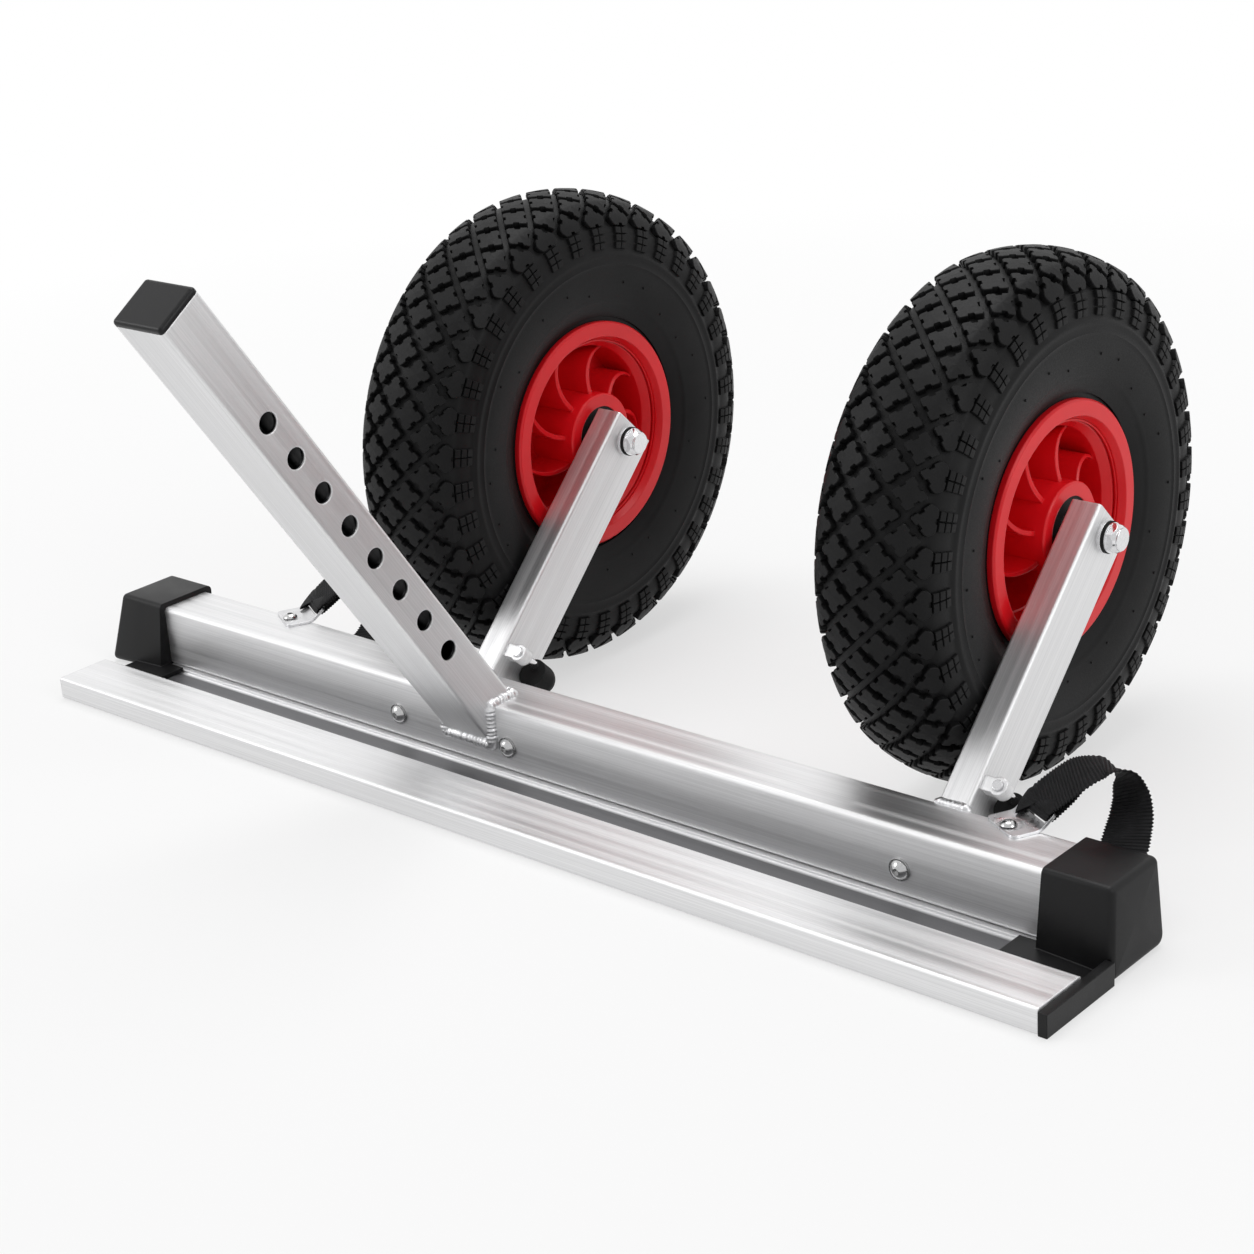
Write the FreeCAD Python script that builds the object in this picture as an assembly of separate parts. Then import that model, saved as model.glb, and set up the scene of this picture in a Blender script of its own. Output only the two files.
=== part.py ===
import FreeCAD, Part
import math
import os

# Two-wheeled aluminium transport bar: a flat base profile with a cross tube on it, a leaning
# drawbar tube with pin holes, and two arms that each carry a pneumatic wheel on a sealed hub.
# Millimetres. X runs along the bar, Y towards the wheels, Z up. The origin is on the floor,
# in the middle of the base profile's length and depth.

# Base profile: a hollow front bar and a flat web under the cross tube
bar_length = 640.0
bar_depth = 33.0
bar_height = 12.5
bar_wall = 2.0
bar_radius = 1.5
tube_inner_radius = 0.5
base_depth = 95.0
seat_height = 3.0
groove_floor = 1.5
seat_lead = 2.5

# Cross tube
tube_length = 640.0
tube_shift = -8.0
tube_depth = 32.0
tube_height = 34.0
tube_wall = 2.5
tube_radius = 2.5

# End caps
cap_grip = 28.0
cap_wall = 3.0
cap_end_wall = 6.5
cap_draft = 6.0
cap_round = 3.0
cap_bottom_cut = 5.0
cap_flare = 5.0
cap_back_draft = 1.5
cap_fit = 0.1
cap_spigot = 8.0
cap_spigot_wall = 2.5
cap_foot_height = 4.0
cap_foot_reach = 12.0
cap_tail = 4.5
cap_tail_end = 9.0
cap_tail_height = 11.0
spigot_fit = 0.3

# Drawbar: a rectangular tube with a row of pin holes
drawbar_right = -43.9
drawbar_width = 33.0
drawbar_depth = 26.3
drawbar_wall = 2.5
drawbar_radius = 2.0
drawbar_lean = 33.75
drawbar_seat = 17.3
drawbar_length = 301.0
pin_hole_radius = 5.25
pin_hole_count = 8
pin_hole_pitch = 24.7
pin_hole_start = 72.6
plug_flange = 3.0
plug_round = 2.4
plug_round_margin = 0.2
plug_insert = 15.0
plug_wall = 2.0
plug_fit = 0.2

# Wheel arms: flat bars that lean back
arm_left_face = -73.1
arm_right_inset = 89.1
arm_width = 16.0
arm_depth = 32.0
arm_lean = 45.7
arm_edge = 1.5
arm_end = 8.7
arm_floor_gap = 2.0
weld_leg = 3.2

# Wheel
tyre_radius = 130.0
tyre_width = 67.5
tyre_side_radius = 100.0
tyre_tread = 8.5
tyre_side_wall = 4.0
tyre_arm_gap = 2.0
tyre_shoulder_in = 11.5
tyre_shoulder_drop = 4.5
tyre_shoulder_bulge_in = 3.3
tyre_shoulder_bulge_drop = 13.5
tyre_crown_sag = 1.1
tyre_belly_drop = 19.0
tyre_belly_in = 0.9
tyre_knee_in = 6.0
tyre_knee_gap = 2.4
tyre_bead_thickness = 6.4
seat_radius = 50.8
flange_radius = 61.8
flange_face = 30.2
flange_thickness = 4.0
flange_inner = 53.8
flange_edge = 1.0
flange_step = 2.0
barrel_wall = 3.2
barrel_inner_end = 46.0
web_half = 2.0
hub_radius = 23.0
hub_face = 32.2
hub_core_radius = 14.5
hub_edge = 0.8
rib_count = 9
rib_thickness = 2.5
rib_hub_height = 26.5
rib_barrel_height = 18.0
rib_sweep = 28.0
bead_fit = 0.25
tube_fit = 0.4
inner_tube_wall = 2.0
valve_radius = 3.5
valve_length = 21.0
valve_offset = 15.0
valve_turn = 18.5
valve_cap_length = 9.0
valve_cap_wall = 0.8
valve_cap_end = 0.5

# Hub bearings and axle
axle_radius = 10.0
bolt_radius = 4.0
bearing_outer = 16.0
bearing_width = 7.0
race_wall = 1.8
ball_radius = 1.1
ball_count = 12
running_fit = 0.05
spacer_step = 0.3
seal_thickness = 3.0
seal_recess = 0.5
seal_gap = 0.15
sleeve_back = 1.0
retainer_radius = 13.0
retainer_thickness = 2.0
head_flats = 13.0
head_height = 5.3
washer_radius = 8.0
washer_thickness = 1.0
ring_radius = 7.8
ring_thickness = 1.5
nut_flange_radius = 7.4
nut_flange = 1.0
nut_height = 4.5
nut_boss = 0.8
nut_boss_radius = 5.6
nut_corner_cut = 0.6
nut_cone_grow = 1.6
nut_thread_share = 0.8
bolt_thread_share = 0.7

# Screws
screw_radius = 2.5
face_screw_left_gap = 35.1
face_screw_right_gap = 10.4
face_screw_inset = 104.0
face_screw_z = 16.5
face_screw_length = 17.0
screw_head_radius = 4.75
screw_head_height = 2.8
socket_flats = 3.0
socket_depth = 1.8
socket_share = 0.65
face_washer_radius = 5.5
face_washer_thickness = 1.0
base_screw_spread = 11.0
base_screw_length = 17.0
base_screw_head = 4.7
base_screw_recess = 0.2
block_length = 36.0
block_height = 20.0
block_roof = 3.0
block_bore = 20.0
hole_fit = 0.05
cut_over = 1.0

# Straps: webbing loops with a screwed plate at each end
strap_screw_insets = {"left": 104.3, "right": 64.3}
strap_turn = 28.0
strap_edge = 4.7
strap_width = 24.0
webbing_width = 23.0
strap_thickness = 1.8
plate_thickness = 1.5
plate_front = 4.8
plate_flat = 7.0
plate_bend_radius = 6.0
plate_bend = 40.0
plate_ramp = 8.0
strap_screw_radius = 2.0
strap_head_radius = 4.0
strap_head_height = 2.2
strap_screw_length = 9.0
strap_gap = 0.3
clamp_length = 16.0
clamp_thickness = 1.5
clamp_x = 49.5
clamp_z = 20.0

# Webbing between its ends: right of the screw, behind the tube, above the tube, and how far its
# width has turned to lie along X
strap_loop = ((22.0, 18.5, 22.5, 0.15), (30.0, 26.0, 25.0, 0.25), (37.0, 29.5, 21.5, 0.3),
              (41.5, 28.5, 14.0, 0.4), (44.5, 24.0, 6.5, 0.55), (47.0, 16.5, 0.0, 0.8),
              (49.0, 9.5, -4.5, 1.0))
strap_bend_lead = 1.0

# Rubber buffer on a stud beside the foot of each arm
stud_radius = 2.5
stud_along = 15.0
stud_reach = 23.0
stud_side = 8.6
lug_radius = 4.5
lug_length = 7.0
lug_start = 2.0
lug_bridge = 7.2
lug_bridge_drop = 3.6
lug_bridge_radius = 0.6
stud_start = 0.5
stud_end_gap = 0.5
buffer_radius = 8.0
buffer_start = 19.0
buffer_body = 8.0
buffer_offset = 4.0

# Places that follow from the sizes above
base_front = -base_depth / 2
base_back = base_depth / 2
bar_back = base_front + bar_depth
tube_back = base_back
tube_front = tube_back - tube_depth
tube_top = seat_height + tube_height
tube_centre_y = tube_front + tube_depth / 2
tube_floor = seat_height + tube_wall
tube_left = tube_shift - tube_length / 2
tube_right = tube_shift + tube_length / 2
drawbar_left = drawbar_right - drawbar_width
face_screw_x = (drawbar_left - face_screw_left_gap, drawbar_right + face_screw_right_gap,
                tube_right - face_screw_inset)
strap_screws_x = {"left": tube_left + strap_screw_insets["left"],
                  "right": tube_right - strap_screw_insets["right"]}
arm_faces = {"left": arm_left_face, "right": tube_right - arm_right_inset}
lean = math.radians(arm_lean)
arm_up = FreeCAD.Vector(0, math.sin(lean), math.cos(lean))
arm_under = FreeCAD.Vector(0, math.cos(lean), -math.sin(lean))
arm_corner = FreeCAD.Vector(0, tube_back, tube_top)
arm_rise = tyre_radius - tube_top + arm_end * arm_up.z - arm_depth / 2 * arm_under.z
arm_length = arm_rise / arm_up.z
axle_centre = arm_corner + arm_up * (arm_length - arm_end) + arm_under * (arm_depth / 2)
draw = math.radians(drawbar_lean)
draw_up = FreeCAD.Vector(0, -math.sin(draw), math.cos(draw))
draw_over = FreeCAD.Vector(0, math.cos(draw), math.sin(draw))
draw_foot = FreeCAD.Vector(drawbar_right, tube_front + drawbar_seat, tube_top)
draw_end = draw_foot + draw_up * drawbar_length
x_axis = FreeCAD.Vector(1, 0, 0)
y_axis = FreeCAD.Vector(0, 1, 0)
z_axis = FreeCAD.Vector(0, 0, 1)
drawbar_buried = tube_height
far = 2000.0
near = 0.01


def box(x0, x1, y0, y1, z0, z1):
    """A box between two corners."""
    return Part.makeBox(x1 - x0, y1 - y0, z1 - z0, FreeCAD.Vector(x0, y0, z0))


def rod(radius, start, direction, length):
    """A cylinder from a start point along a direction."""
    return Part.makeCylinder(radius, length, start, direction)


def rounded_wire(corner, across, up, width, height, radius):
    """A rounded rectangle from its lowest corner, along two unit directions."""
    def at(u, v):
        return corner + across * u + up * v
    bulge = radius * (1 - math.sqrt(0.5))
    edges = []
    corners = ((0, 0, 1, 1), (width, 0, -1, 1), (width, height, -1, -1), (0, height, 1, -1))
    ends = []
    for index, (u, v, su, sv) in enumerate(corners):
        along_u = at(u + su * radius, v)
        along_v = at(u, v + sv * radius)
        middle = at(u + su * bulge, v + sv * bulge)
        first, last = (along_v, along_u) if index % 2 == 0 else (along_u, along_v)
        edges.append(Part.Arc(first, middle, last).toShape())
        ends.append((first, last))
    for index in range(4):
        start = ends[index][1]
        end = ends[(index + 1) % 4][0]
        edges.append(Part.makeLine(start, end))
    return Part.Wire(Part.__sortEdges__(edges))


def rounded_bar(corner, across, up, width, height, radius, sweep):
    """A solid bar with a rounded rectangular section."""
    return Part.Face(rounded_wire(corner, across, up, width, height, radius)).extrude(sweep)


def hollow_bar(corner, across, up, width, height, wall, radius, sweep):
    """A rectangular tube with rounded outer edges."""
    outer = rounded_bar(corner, across, up, width, height, radius, sweep)
    inner_corner = corner + across * wall + up * wall - sweep * 0.01
    inner_radius = max(radius - wall, 0.0) + tube_inner_radius
    inner = rounded_bar(inner_corner, across, up, width - 2 * wall, height - 2 * wall,
                        inner_radius, sweep * 1.02)
    return outer.cut(inner)


def hexagon(flats, start, direction, length):
    """A hexagonal prism whose first corner points up."""
    side = direction.cross(z_axis)
    if side.Length < 0.5:
        side = FreeCAD.Vector(x_axis)
    side.normalize()
    up = side.cross(direction)
    corner_radius = flats / math.sqrt(3)
    points = []
    for index in range(7):
        angle = math.radians(60 * index)
        spoke = up * math.cos(angle) + side * math.sin(angle)
        points.append(start + spoke * corner_radius)
    return Part.Face(Part.makePolygon(points)).extrude(direction * length)


def revolved(points):
    """A ring about the X axis from corner points given as (x, radius)."""
    corners = [FreeCAD.Vector(x, 0, r) for x, r in points]
    face = Part.Face(Part.makePolygon(corners + corners[:1]))
    return face.revolve(FreeCAD.Vector(0, 0, 0), x_axis, 360)


def fused(shapes):
    """One solid from several that touch or cross."""
    whole = shapes[0].multiFuse(shapes[1:])
    return whole.removeSplitter()


def save(name, shape):
    """Write one node's file."""
    shape.exportStep("parts/" + name + ".step")


def base_profile():
    """Front bar, groove and seat web in one extrusion, drilled from below for the hidden screws."""
    start = -bar_length / 2
    sweep = x_axis * bar_length
    bar = hollow_bar(FreeCAD.Vector(start, base_front, 0), y_axis, z_axis,
                     bar_depth, bar_height, bar_wall, bar_radius, sweep)
    groove = box(start, -start, bar_back - bar_radius, base_back, 0, groove_floor)
    seat = box(start, -start, tube_front - seat_lead, base_back, 0, seat_height)
    shape = fused([bar, groove, seat])
    for x, y in base_screw_places():
        shape = shape.cut(countersunk_screw(x, y, hole_fit))
    return shape


def base_screw_places():
    """Two hidden screws under each fixing block."""
    return [(x + side * base_screw_spread, tube_centre_y) for x in face_screw_x for side in (-1, 1)]


def countersunk_screw(x, y, extra):
    """A countersunk screw that points up, or the hole that it needs."""
    head = FreeCAD.Vector(x, y, base_screw_recess)
    cone_height = base_screw_head - screw_radius
    cone = Part.makeCone(base_screw_head + extra, screw_radius + extra, cone_height, head, z_axis)
    shank = rod(screw_radius + extra, head + z_axis * (cone_height / 2), z_axis, base_screw_length + extra)
    screw = cone.fuse(shank)
    if extra > 0:
        mouth = rod(base_screw_head + extra, head, z_axis * -1, base_screw_recess + cut_over)
        return screw.fuse(mouth)
    return screw.cut(hexagon(socket_flats, head, z_axis, socket_depth))


def tube_envelope(grow=0.0):
    """The cross tube's outer form, filled in, or grown by a clearance."""
    corner = FreeCAD.Vector(tube_left - grow, tube_front - grow, seat_height - grow)
    return rounded_bar(corner, y_axis, z_axis, tube_depth + 2 * grow, tube_height + 2 * grow,
                       tube_radius + grow, x_axis * (tube_length + 2 * grow))


def cross_tube():
    """Square-edged tube on the web, drilled for its screws."""
    corner = FreeCAD.Vector(tube_left, tube_front, seat_height)
    shape = hollow_bar(corner, y_axis, z_axis, tube_depth, tube_height, tube_wall, tube_radius,
                       x_axis * tube_length)
    holes = []
    for x in face_screw_x:
        start = FreeCAD.Vector(x, tube_front - cut_over, face_screw_z)
        holes.append(rod(screw_radius + hole_fit, start, y_axis, tube_wall + 2 * cut_over))
    for x, y in base_screw_places():
        start = FreeCAD.Vector(x, y, seat_height - cut_over)
        holes.append(rod(screw_radius + hole_fit, start, z_axis, tube_wall + 2 * cut_over))
    for side in ("left", "right"):
        holes.append(strap_hole(side))
        holes.append(clamp_hole(side))
    return shape.cut(Part.makeCompound(holes))


def strap_hole(side):
    """The hole for a strap plate's screw in the tube's top."""
    floor = tube_top - tube_wall - cut_over
    start = FreeCAD.Vector(strap_screws_x[side], tube_back - strap_edge, floor)
    return rod(strap_screw_radius + hole_fit, start, z_axis, tube_wall + 2 * cut_over)


def clamp_hole(side):
    """The hole for a strap's far end in the back of the tube and of the cap on it."""
    start = FreeCAD.Vector(strap_screws_x[side] + clamp_x, tube_back - tube_wall - cut_over, clamp_z)
    return rod(strap_screw_radius + hole_fit, start, y_axis, tube_wall + cap_wall + 2 * cut_over)


def end_cap(side):
    """Moulded cap over a tube end, with a foot in the groove; side is 1 on the right."""
    tube_end = tube_right if side > 0 else -tube_left
    bar_end = bar_length / 2
    front = tube_front - cap_wall
    back = tube_back + cap_wall
    top = tube_top + cap_wall
    rim = tube_end - cap_grip
    outer = tube_end + cap_end_wall
    wide = outer + cap_draft
    floor_corners = [(rim, front - cap_flare), (wide, front - cap_flare),
                     (wide, back - cap_back_draft), (rim, back - cap_back_draft)]
    top_corners = [(rim, front), (outer, front), (outer, back), (rim, back)]
    sections = []
    for corners, z in ((floor_corners, 0.0), (top_corners, top)):
        points = [FreeCAD.Vector(x, y, z) for x, y in corners]
        sections.append(Part.makePolygon(points + points[:1]))
    body = Part.makeLoft(sections, True, True)
    wedge_corners = ((wide - cap_bottom_cut - cut_over, -cut_over), (wide + cut_over, -cut_over),
                     (wide + cut_over, cap_bottom_cut + cut_over))
    wedge = [FreeCAD.Vector(x, -far, z) for x, z in wedge_corners]
    body = body.cut(Part.Face(Part.makePolygon(wedge + wedge[:1])).extrude(y_axis * far * 2))
    rounded = []
    for edge in body.Edges:
        centre = edge.CenterOfMass
        on_rim = abs(centre.x - rim) < near
        if not on_rim and centre.z > cap_bottom_cut + near:
            rounded.append(edge)
    body = body.makeFillet(cap_round, rounded)
    foot_start = min(rim, bar_end) - cap_foot_reach
    foot_end = max(rim + cap_wall, bar_end)
    foot = box(foot_start, foot_end, bar_back + cap_fit, front + cap_wall / 2,
               groove_floor + cap_fit, cap_foot_height)
    pieces = [body, foot]
    if side > 0:
        tail = box(bar_end + cap_fit, bar_end + cap_tail, base_front, tube_back - cap_tail_end,
                   0, cap_tail_height)
        outer_edges = [edge for edge in tail.Edges if abs(edge.CenterOfMass.x - bar_end - cap_tail) < near
                       and edge.CenterOfMass.y < tube_front]
        tail = tail.makeFillet(bar_radius, outer_edges)
        joint = box(bar_end - cap_tail, bar_end + cap_tail / 2, bar_back + cut_over, front + cap_wall / 2,
                    groove_floor + cap_fit, cap_foot_height)
        pieces = [body, foot, tail, joint]
    shape = fused(pieces)
    pocket = tube_envelope(cap_fit)
    if side < 0:
        pocket = pocket.mirror(FreeCAD.Vector(0, 0, 0), x_axis)
    room_end = bar_end + cap_fit
    seat = box(0, room_end, tube_front - seat_lead - cap_fit, tube_back + cap_fit,
               -cut_over, seat_height + cap_fit)
    groove = box(0, room_end, -far, tube_back, -cut_over, groove_floor + cap_fit)
    bar_room = box(0, room_end, -far, bar_back + cap_fit, -cut_over, tube_top)
    for cutter in (pocket, seat, groove, bar_room):
        shape = shape.cut(cutter)
    inset = tube_wall + spigot_fit
    spigot = hollow_bar(FreeCAD.Vector(tube_end - cap_spigot, tube_front + inset, seat_height + inset),
                        y_axis, z_axis, tube_depth - 2 * inset, tube_height - 2 * inset,
                        cap_spigot_wall, bar_radius, x_axis * (cap_spigot + cap_wall))
    shape = fused([shape, spigot])
    if side < 0:
        return shape.mirror(FreeCAD.Vector(0, 0, 0), x_axis)
    return shape.cut(clamp_hole("right"))


def drawbar_corner():
    """The drawbar's lowest corner before its foot is notched."""
    return draw_foot - draw_up * drawbar_buried - x_axis * drawbar_width - draw_over * drawbar_depth


def drawbar_envelope():
    """The drawbar's outer form, filled in, before its foot is notched."""
    return rounded_bar(drawbar_corner(), x_axis, draw_over, drawbar_width, drawbar_depth,
                       drawbar_radius, draw_up * (drawbar_length + drawbar_buried))


def drawbar_tube():
    """Leaning tube, notched to sit over the cross tube's front top edge, with a row of pin holes."""
    shape = hollow_bar(drawbar_corner(), x_axis, draw_over, drawbar_width, drawbar_depth, drawbar_wall,
                       drawbar_radius, draw_up * (drawbar_length + drawbar_buried))
    shape = shape.cut(box(-far, far, tube_front, far, -far, tube_top))
    top_middle = draw_end - draw_over * (drawbar_depth / 2) - x_axis * (drawbar_width + cut_over)
    holes = []
    for index in range(pin_hole_count):
        start = top_middle - draw_up * (pin_hole_start + index * pin_hole_pitch)
        holes.append(rod(pin_hole_radius, start, x_axis, drawbar_width + 2 * cut_over))
    return shape.cut(Part.makeCompound(holes))


def drawbar_plug():
    """Push-in plug that closes the drawbar's top end."""
    corner = draw_end - x_axis * drawbar_width - draw_over * drawbar_depth
    flange = rounded_bar(corner, x_axis, draw_over, drawbar_width, drawbar_depth, drawbar_radius,
                         draw_up * plug_flange)
    outer_face = corner + draw_up * plug_flange
    edges = []
    for edge in flange.Edges:
        height = [(vertex.Point - outer_face).dot(draw_up) for vertex in edge.Vertexes]
        if min(height) > -near:
            edges.append(edge)
    flange = flange.makeFillet(min(plug_round, drawbar_radius - plug_round_margin), edges)
    inset = drawbar_wall + plug_fit
    insert = hollow_bar(corner + x_axis * inset + draw_over * inset - draw_up * plug_insert,
                        x_axis, draw_over, drawbar_width - 2 * inset, drawbar_depth - 2 * inset,
                        plug_wall, bar_radius, draw_up * (plug_insert + plug_flange / 2))
    return fused([flange, insert])


def bead(points, radius):
    """Rods and balls along a closed seam."""
    pieces = []
    for start, end in zip(points, points[1:] + points[:1]):
        run = end - start
        pieces.append(rod(radius, start, run, run.Length))
        pieces.append(Part.makeSphere(radius, start))
    return fused(pieces)


def drawbar_weld():
    """Weld bead all round the drawbar's foot."""
    across = x_axis * -drawbar_width
    face_point = FreeCAD.Vector(drawbar_right, tube_front, tube_top - draw_drop())
    corner = FreeCAD.Vector(drawbar_right, tube_front, tube_top)
    seam = [draw_foot, corner, face_point, face_point + across, corner + across, draw_foot + across]
    return bead(seam, weld_leg).cut(drawbar_envelope()).cut(tube_envelope())


def draw_drop():
    """How far below the tube's top the drawbar's lower edge meets the tube's face."""
    return (drawbar_depth - drawbar_seat * draw_over.y) / draw_over.z


def arm_envelope(side):
    """A whole flat bar from below the floor to its top end."""
    face_x = arm_faces[side]
    buried = arm_depth * 2
    corner = arm_corner + FreeCAD.Vector(face_x - arm_width, 0, 0) - arm_up * buried
    return rounded_bar(corner, x_axis, arm_under, arm_width, arm_depth, arm_edge,
                       arm_up * (arm_length + buried))


def wheel_arm(side):
    """Flat bar mitred to the tube's back and trimmed above the floor, drilled for the axle."""
    shape = arm_envelope(side)
    shape = shape.cut(box(-far, far, -far, tube_back, -far, far))
    shape = shape.cut(box(-far, far, -far, far, -far, arm_floor_gap))
    start = axle_centre + x_axis * (arm_faces[side] - arm_width - cut_over)
    return shape.cut(rod(bolt_radius + running_fit, start, x_axis, arm_width + 2 * cut_over))


def arm_weld(side):
    """Weld bead up both sides of an arm's foot and over its top edge."""
    right = arm_faces[side]
    left = right - arm_width
    low = seat_height + weld_leg
    pieces = []
    for x in (left, right):
        foot = FreeCAD.Vector(x, tube_back, low)
        pieces.append(rod(weld_leg, foot, z_axis, tube_top - low))
        pieces.append(Part.makeSphere(weld_leg, FreeCAD.Vector(x, tube_back, tube_top)))
        pieces.append(Part.makeSphere(weld_leg, foot))
    pieces.append(rod(weld_leg, FreeCAD.Vector(left, tube_back, tube_top), x_axis, arm_width))
    shape = fused(pieces)
    for solid in (arm_envelope(side), tube_envelope(), box(-far, far, -far, base_back, -far, seat_height)):
        shape = shape.cut(solid)
    return shape


def fixing_block(x):
    """Block inside the tube that takes one face screw and two base screws."""
    shape = box(x - block_length / 2, x + block_length / 2, tube_front + tube_wall,
                tube_back - tube_wall, tube_floor, tube_floor + block_height)
    edges = [edge for edge in shape.Edges if edge.BoundBox.XLength > block_length / 2]
    shape = shape.makeChamfer(bar_radius, edges)
    face_start = FreeCAD.Vector(x, tube_front, face_screw_z)
    shape = shape.cut(rod(screw_radius + hole_fit, face_start, y_axis, block_bore))
    for side in (-1, 1):
        start = FreeCAD.Vector(x + side * base_screw_spread, tube_centre_y, 0)
        shape = shape.cut(rod(screw_radius + hole_fit, start, z_axis, tube_floor + block_height - block_roof))
    return shape


def button_screw(start, outward, radius, head_radius, head_height, length, flats):
    """A button-head screw: start is under its head, and outward points from the work."""
    shank = rod(radius, start - outward * length, outward, length + head_height / 2)
    dome_radius = (head_radius ** 2 + head_height ** 2) / (2 * head_height)
    dome = Part.makeSphere(dome_radius, start + outward * (head_height - dome_radius))
    head = rod(head_radius, start, outward, head_height).common(dome)
    depth = min(socket_depth, head_height * socket_share)
    socket = hexagon(flats, start + outward * (head_height - depth), outward, depth + cut_over)
    return head.fuse(shank).removeSplitter().cut(socket)


def face_screws():
    """Screws that hold the tube's front to the fixing blocks."""
    outward = y_axis * -1
    shapes = []
    for x in face_screw_x:
        start = FreeCAD.Vector(x, tube_front - face_washer_thickness, face_screw_z)
        shapes.append(button_screw(start, outward, screw_radius, screw_head_radius, screw_head_height,
                                   face_screw_length, socket_flats))
    return shapes


def washer(start, direction, outer, inner, thickness):
    """A flat ring."""
    hole = rod(inner, start - direction * cut_over, direction, thickness + 2 * cut_over)
    return rod(outer, start, direction, thickness).cut(hole)


def face_washers():
    """Washers under the face screws' heads."""
    shapes = []
    for x in face_screw_x:
        start = FreeCAD.Vector(x, tube_front - face_washer_thickness, face_screw_z)
        shapes.append(washer(start, y_axis, face_washer_radius, screw_radius + hole_fit,
                             face_washer_thickness))
    return shapes


def strap_frame(side):
    """A strap plate's screw point on the tube's top, its direction and its width direction."""
    turn = math.radians(strap_turn)
    centre = FreeCAD.Vector(strap_screws_x[side], tube_back - strap_edge, tube_top)
    along = FreeCAD.Vector(math.sin(turn), math.cos(turn), 0)
    across = FreeCAD.Vector(math.cos(turn), -math.sin(turn), 0)
    return centre, along, across


def strap_plate(side):
    """Screwed plate whose back end bends up under the strap."""
    centre, along, across = strap_frame(side)
    bend = math.radians(plate_bend)
    inner = plate_bend_radius
    outer = inner + plate_thickness

    def at(radius, angle):
        return (plate_flat + radius * math.sin(angle), outer - radius * math.cos(angle))

    low_end = at(outer, bend)
    high_end = at(inner, bend)
    ramp = (plate_ramp * math.cos(bend), plate_ramp * math.sin(bend))
    profile = [(-plate_front, 0), (plate_flat, 0), low_end,
               (low_end[0] + ramp[0], low_end[1] + ramp[1]),
               (high_end[0] + ramp[0], high_end[1] + ramp[1]), high_end,
               (plate_flat, plate_thickness), (-plate_front, plate_thickness)]
    origin = centre - across * (strap_width / 2)
    points = [origin + along * s + z_axis * h for s, h in profile]
    middle_low = at(outer, bend / 2)
    middle_high = at(inner, bend / 2)
    arc_low = Part.Arc(points[1], origin + along * middle_low[0] + z_axis * middle_low[1], points[2])
    arc_high = Part.Arc(points[5], origin + along * middle_high[0] + z_axis * middle_high[1], points[6])
    edges = [Part.makeLine(points[0], points[1]), arc_low.toShape()]
    edges += [Part.makeLine(points[2], points[3]), Part.makeLine(points[3], points[4])]
    edges += [Part.makeLine(points[4], points[5]), arc_high.toShape()]
    edges += [Part.makeLine(points[6], points[7]), Part.makeLine(points[7], points[0])]
    plate = Part.Face(Part.Wire(edges)).extrude(across * strap_width)
    hole = rod(strap_screw_radius + hole_fit, centre - z_axis * cut_over, z_axis,
               plate_thickness + 2 * cut_over)
    return plate.cut(hole)


def strap_clamp(side):
    """Flat plate that presses the strap's far end against the back of the tube or cap."""
    centre = clamp_centre(side)
    seat = centre.y + strap_gap + strap_thickness + strap_gap
    plate = rounded_bar(FreeCAD.Vector(centre.x - strap_width / 2, seat, centre.z - clamp_length / 2),
                        x_axis, z_axis, strap_width, clamp_length, bar_radius, y_axis * clamp_thickness)
    start = FreeCAD.Vector(centre.x, seat - cut_over, centre.z)
    return plate.cut(rod(strap_screw_radius + hole_fit, start, y_axis, clamp_thickness + 2 * cut_over))


def clamp_centre(side):
    """Where a strap's far end is screwed: on the cap at the right, on the bare tube at the left."""
    back = tube_back + (cap_wall if side == "right" else 0.0)
    return FreeCAD.Vector(strap_screws_x[side] + clamp_x, back, clamp_z)


def strap_screws(side):
    """The screws at a strap's two ends."""
    centre, along, across = strap_frame(side)
    top = button_screw(centre + z_axis * plate_thickness, z_axis, strap_screw_radius, strap_head_radius,
                       strap_head_height, strap_screw_length, socket_flats)
    end = clamp_centre(side)
    head = end + y_axis * (2 * strap_gap + strap_thickness + clamp_thickness)
    back = button_screw(head, y_axis, strap_screw_radius, strap_head_radius, strap_head_height,
                        strap_screw_length, socket_flats)
    return [top, back]


def strap_path(side):
    """Centre line of the webbing: stations of a point and a width direction."""
    centre, along, across = strap_frame(side)
    bend = math.radians(plate_bend)
    lift = plate_thickness + strap_gap + strap_thickness / 2
    start = centre + along * (plate_flat + strap_bend_lead) + z_axis * lift
    ramp_direction = along * math.cos(bend) + z_axis * math.sin(bend)
    ramp_normal = z_axis * math.cos(bend) - along * math.sin(bend)
    outer = plate_bend_radius + plate_thickness
    knee = centre + along * (plate_flat + outer * math.sin(bend)) + z_axis * (outer * (1 - math.cos(bend)))
    ramp_start = knee + ramp_normal * lift + ramp_direction * strap_bend_lead
    ramp_end = ramp_start + ramp_direction * (plate_ramp + strap_bend_lead)
    end = clamp_centre(side) + y_axis * (strap_gap + strap_thickness / 2)
    low = end - z_axis * (clamp_length / 2)
    high = end + z_axis * (clamp_length / 2 + strap_bend_lead)
    stations = [(start, across), (ramp_start, across), (ramp_end, across)]
    for x, behind, above, share in strap_loop:
        point = FreeCAD.Vector(strap_screws_x[side] + x, tube_back + behind, tube_top + above)
        stations.append((point, across * (1 - share) + x_axis * share))
    return stations + [(high, x_axis), (low, x_axis)]


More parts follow.
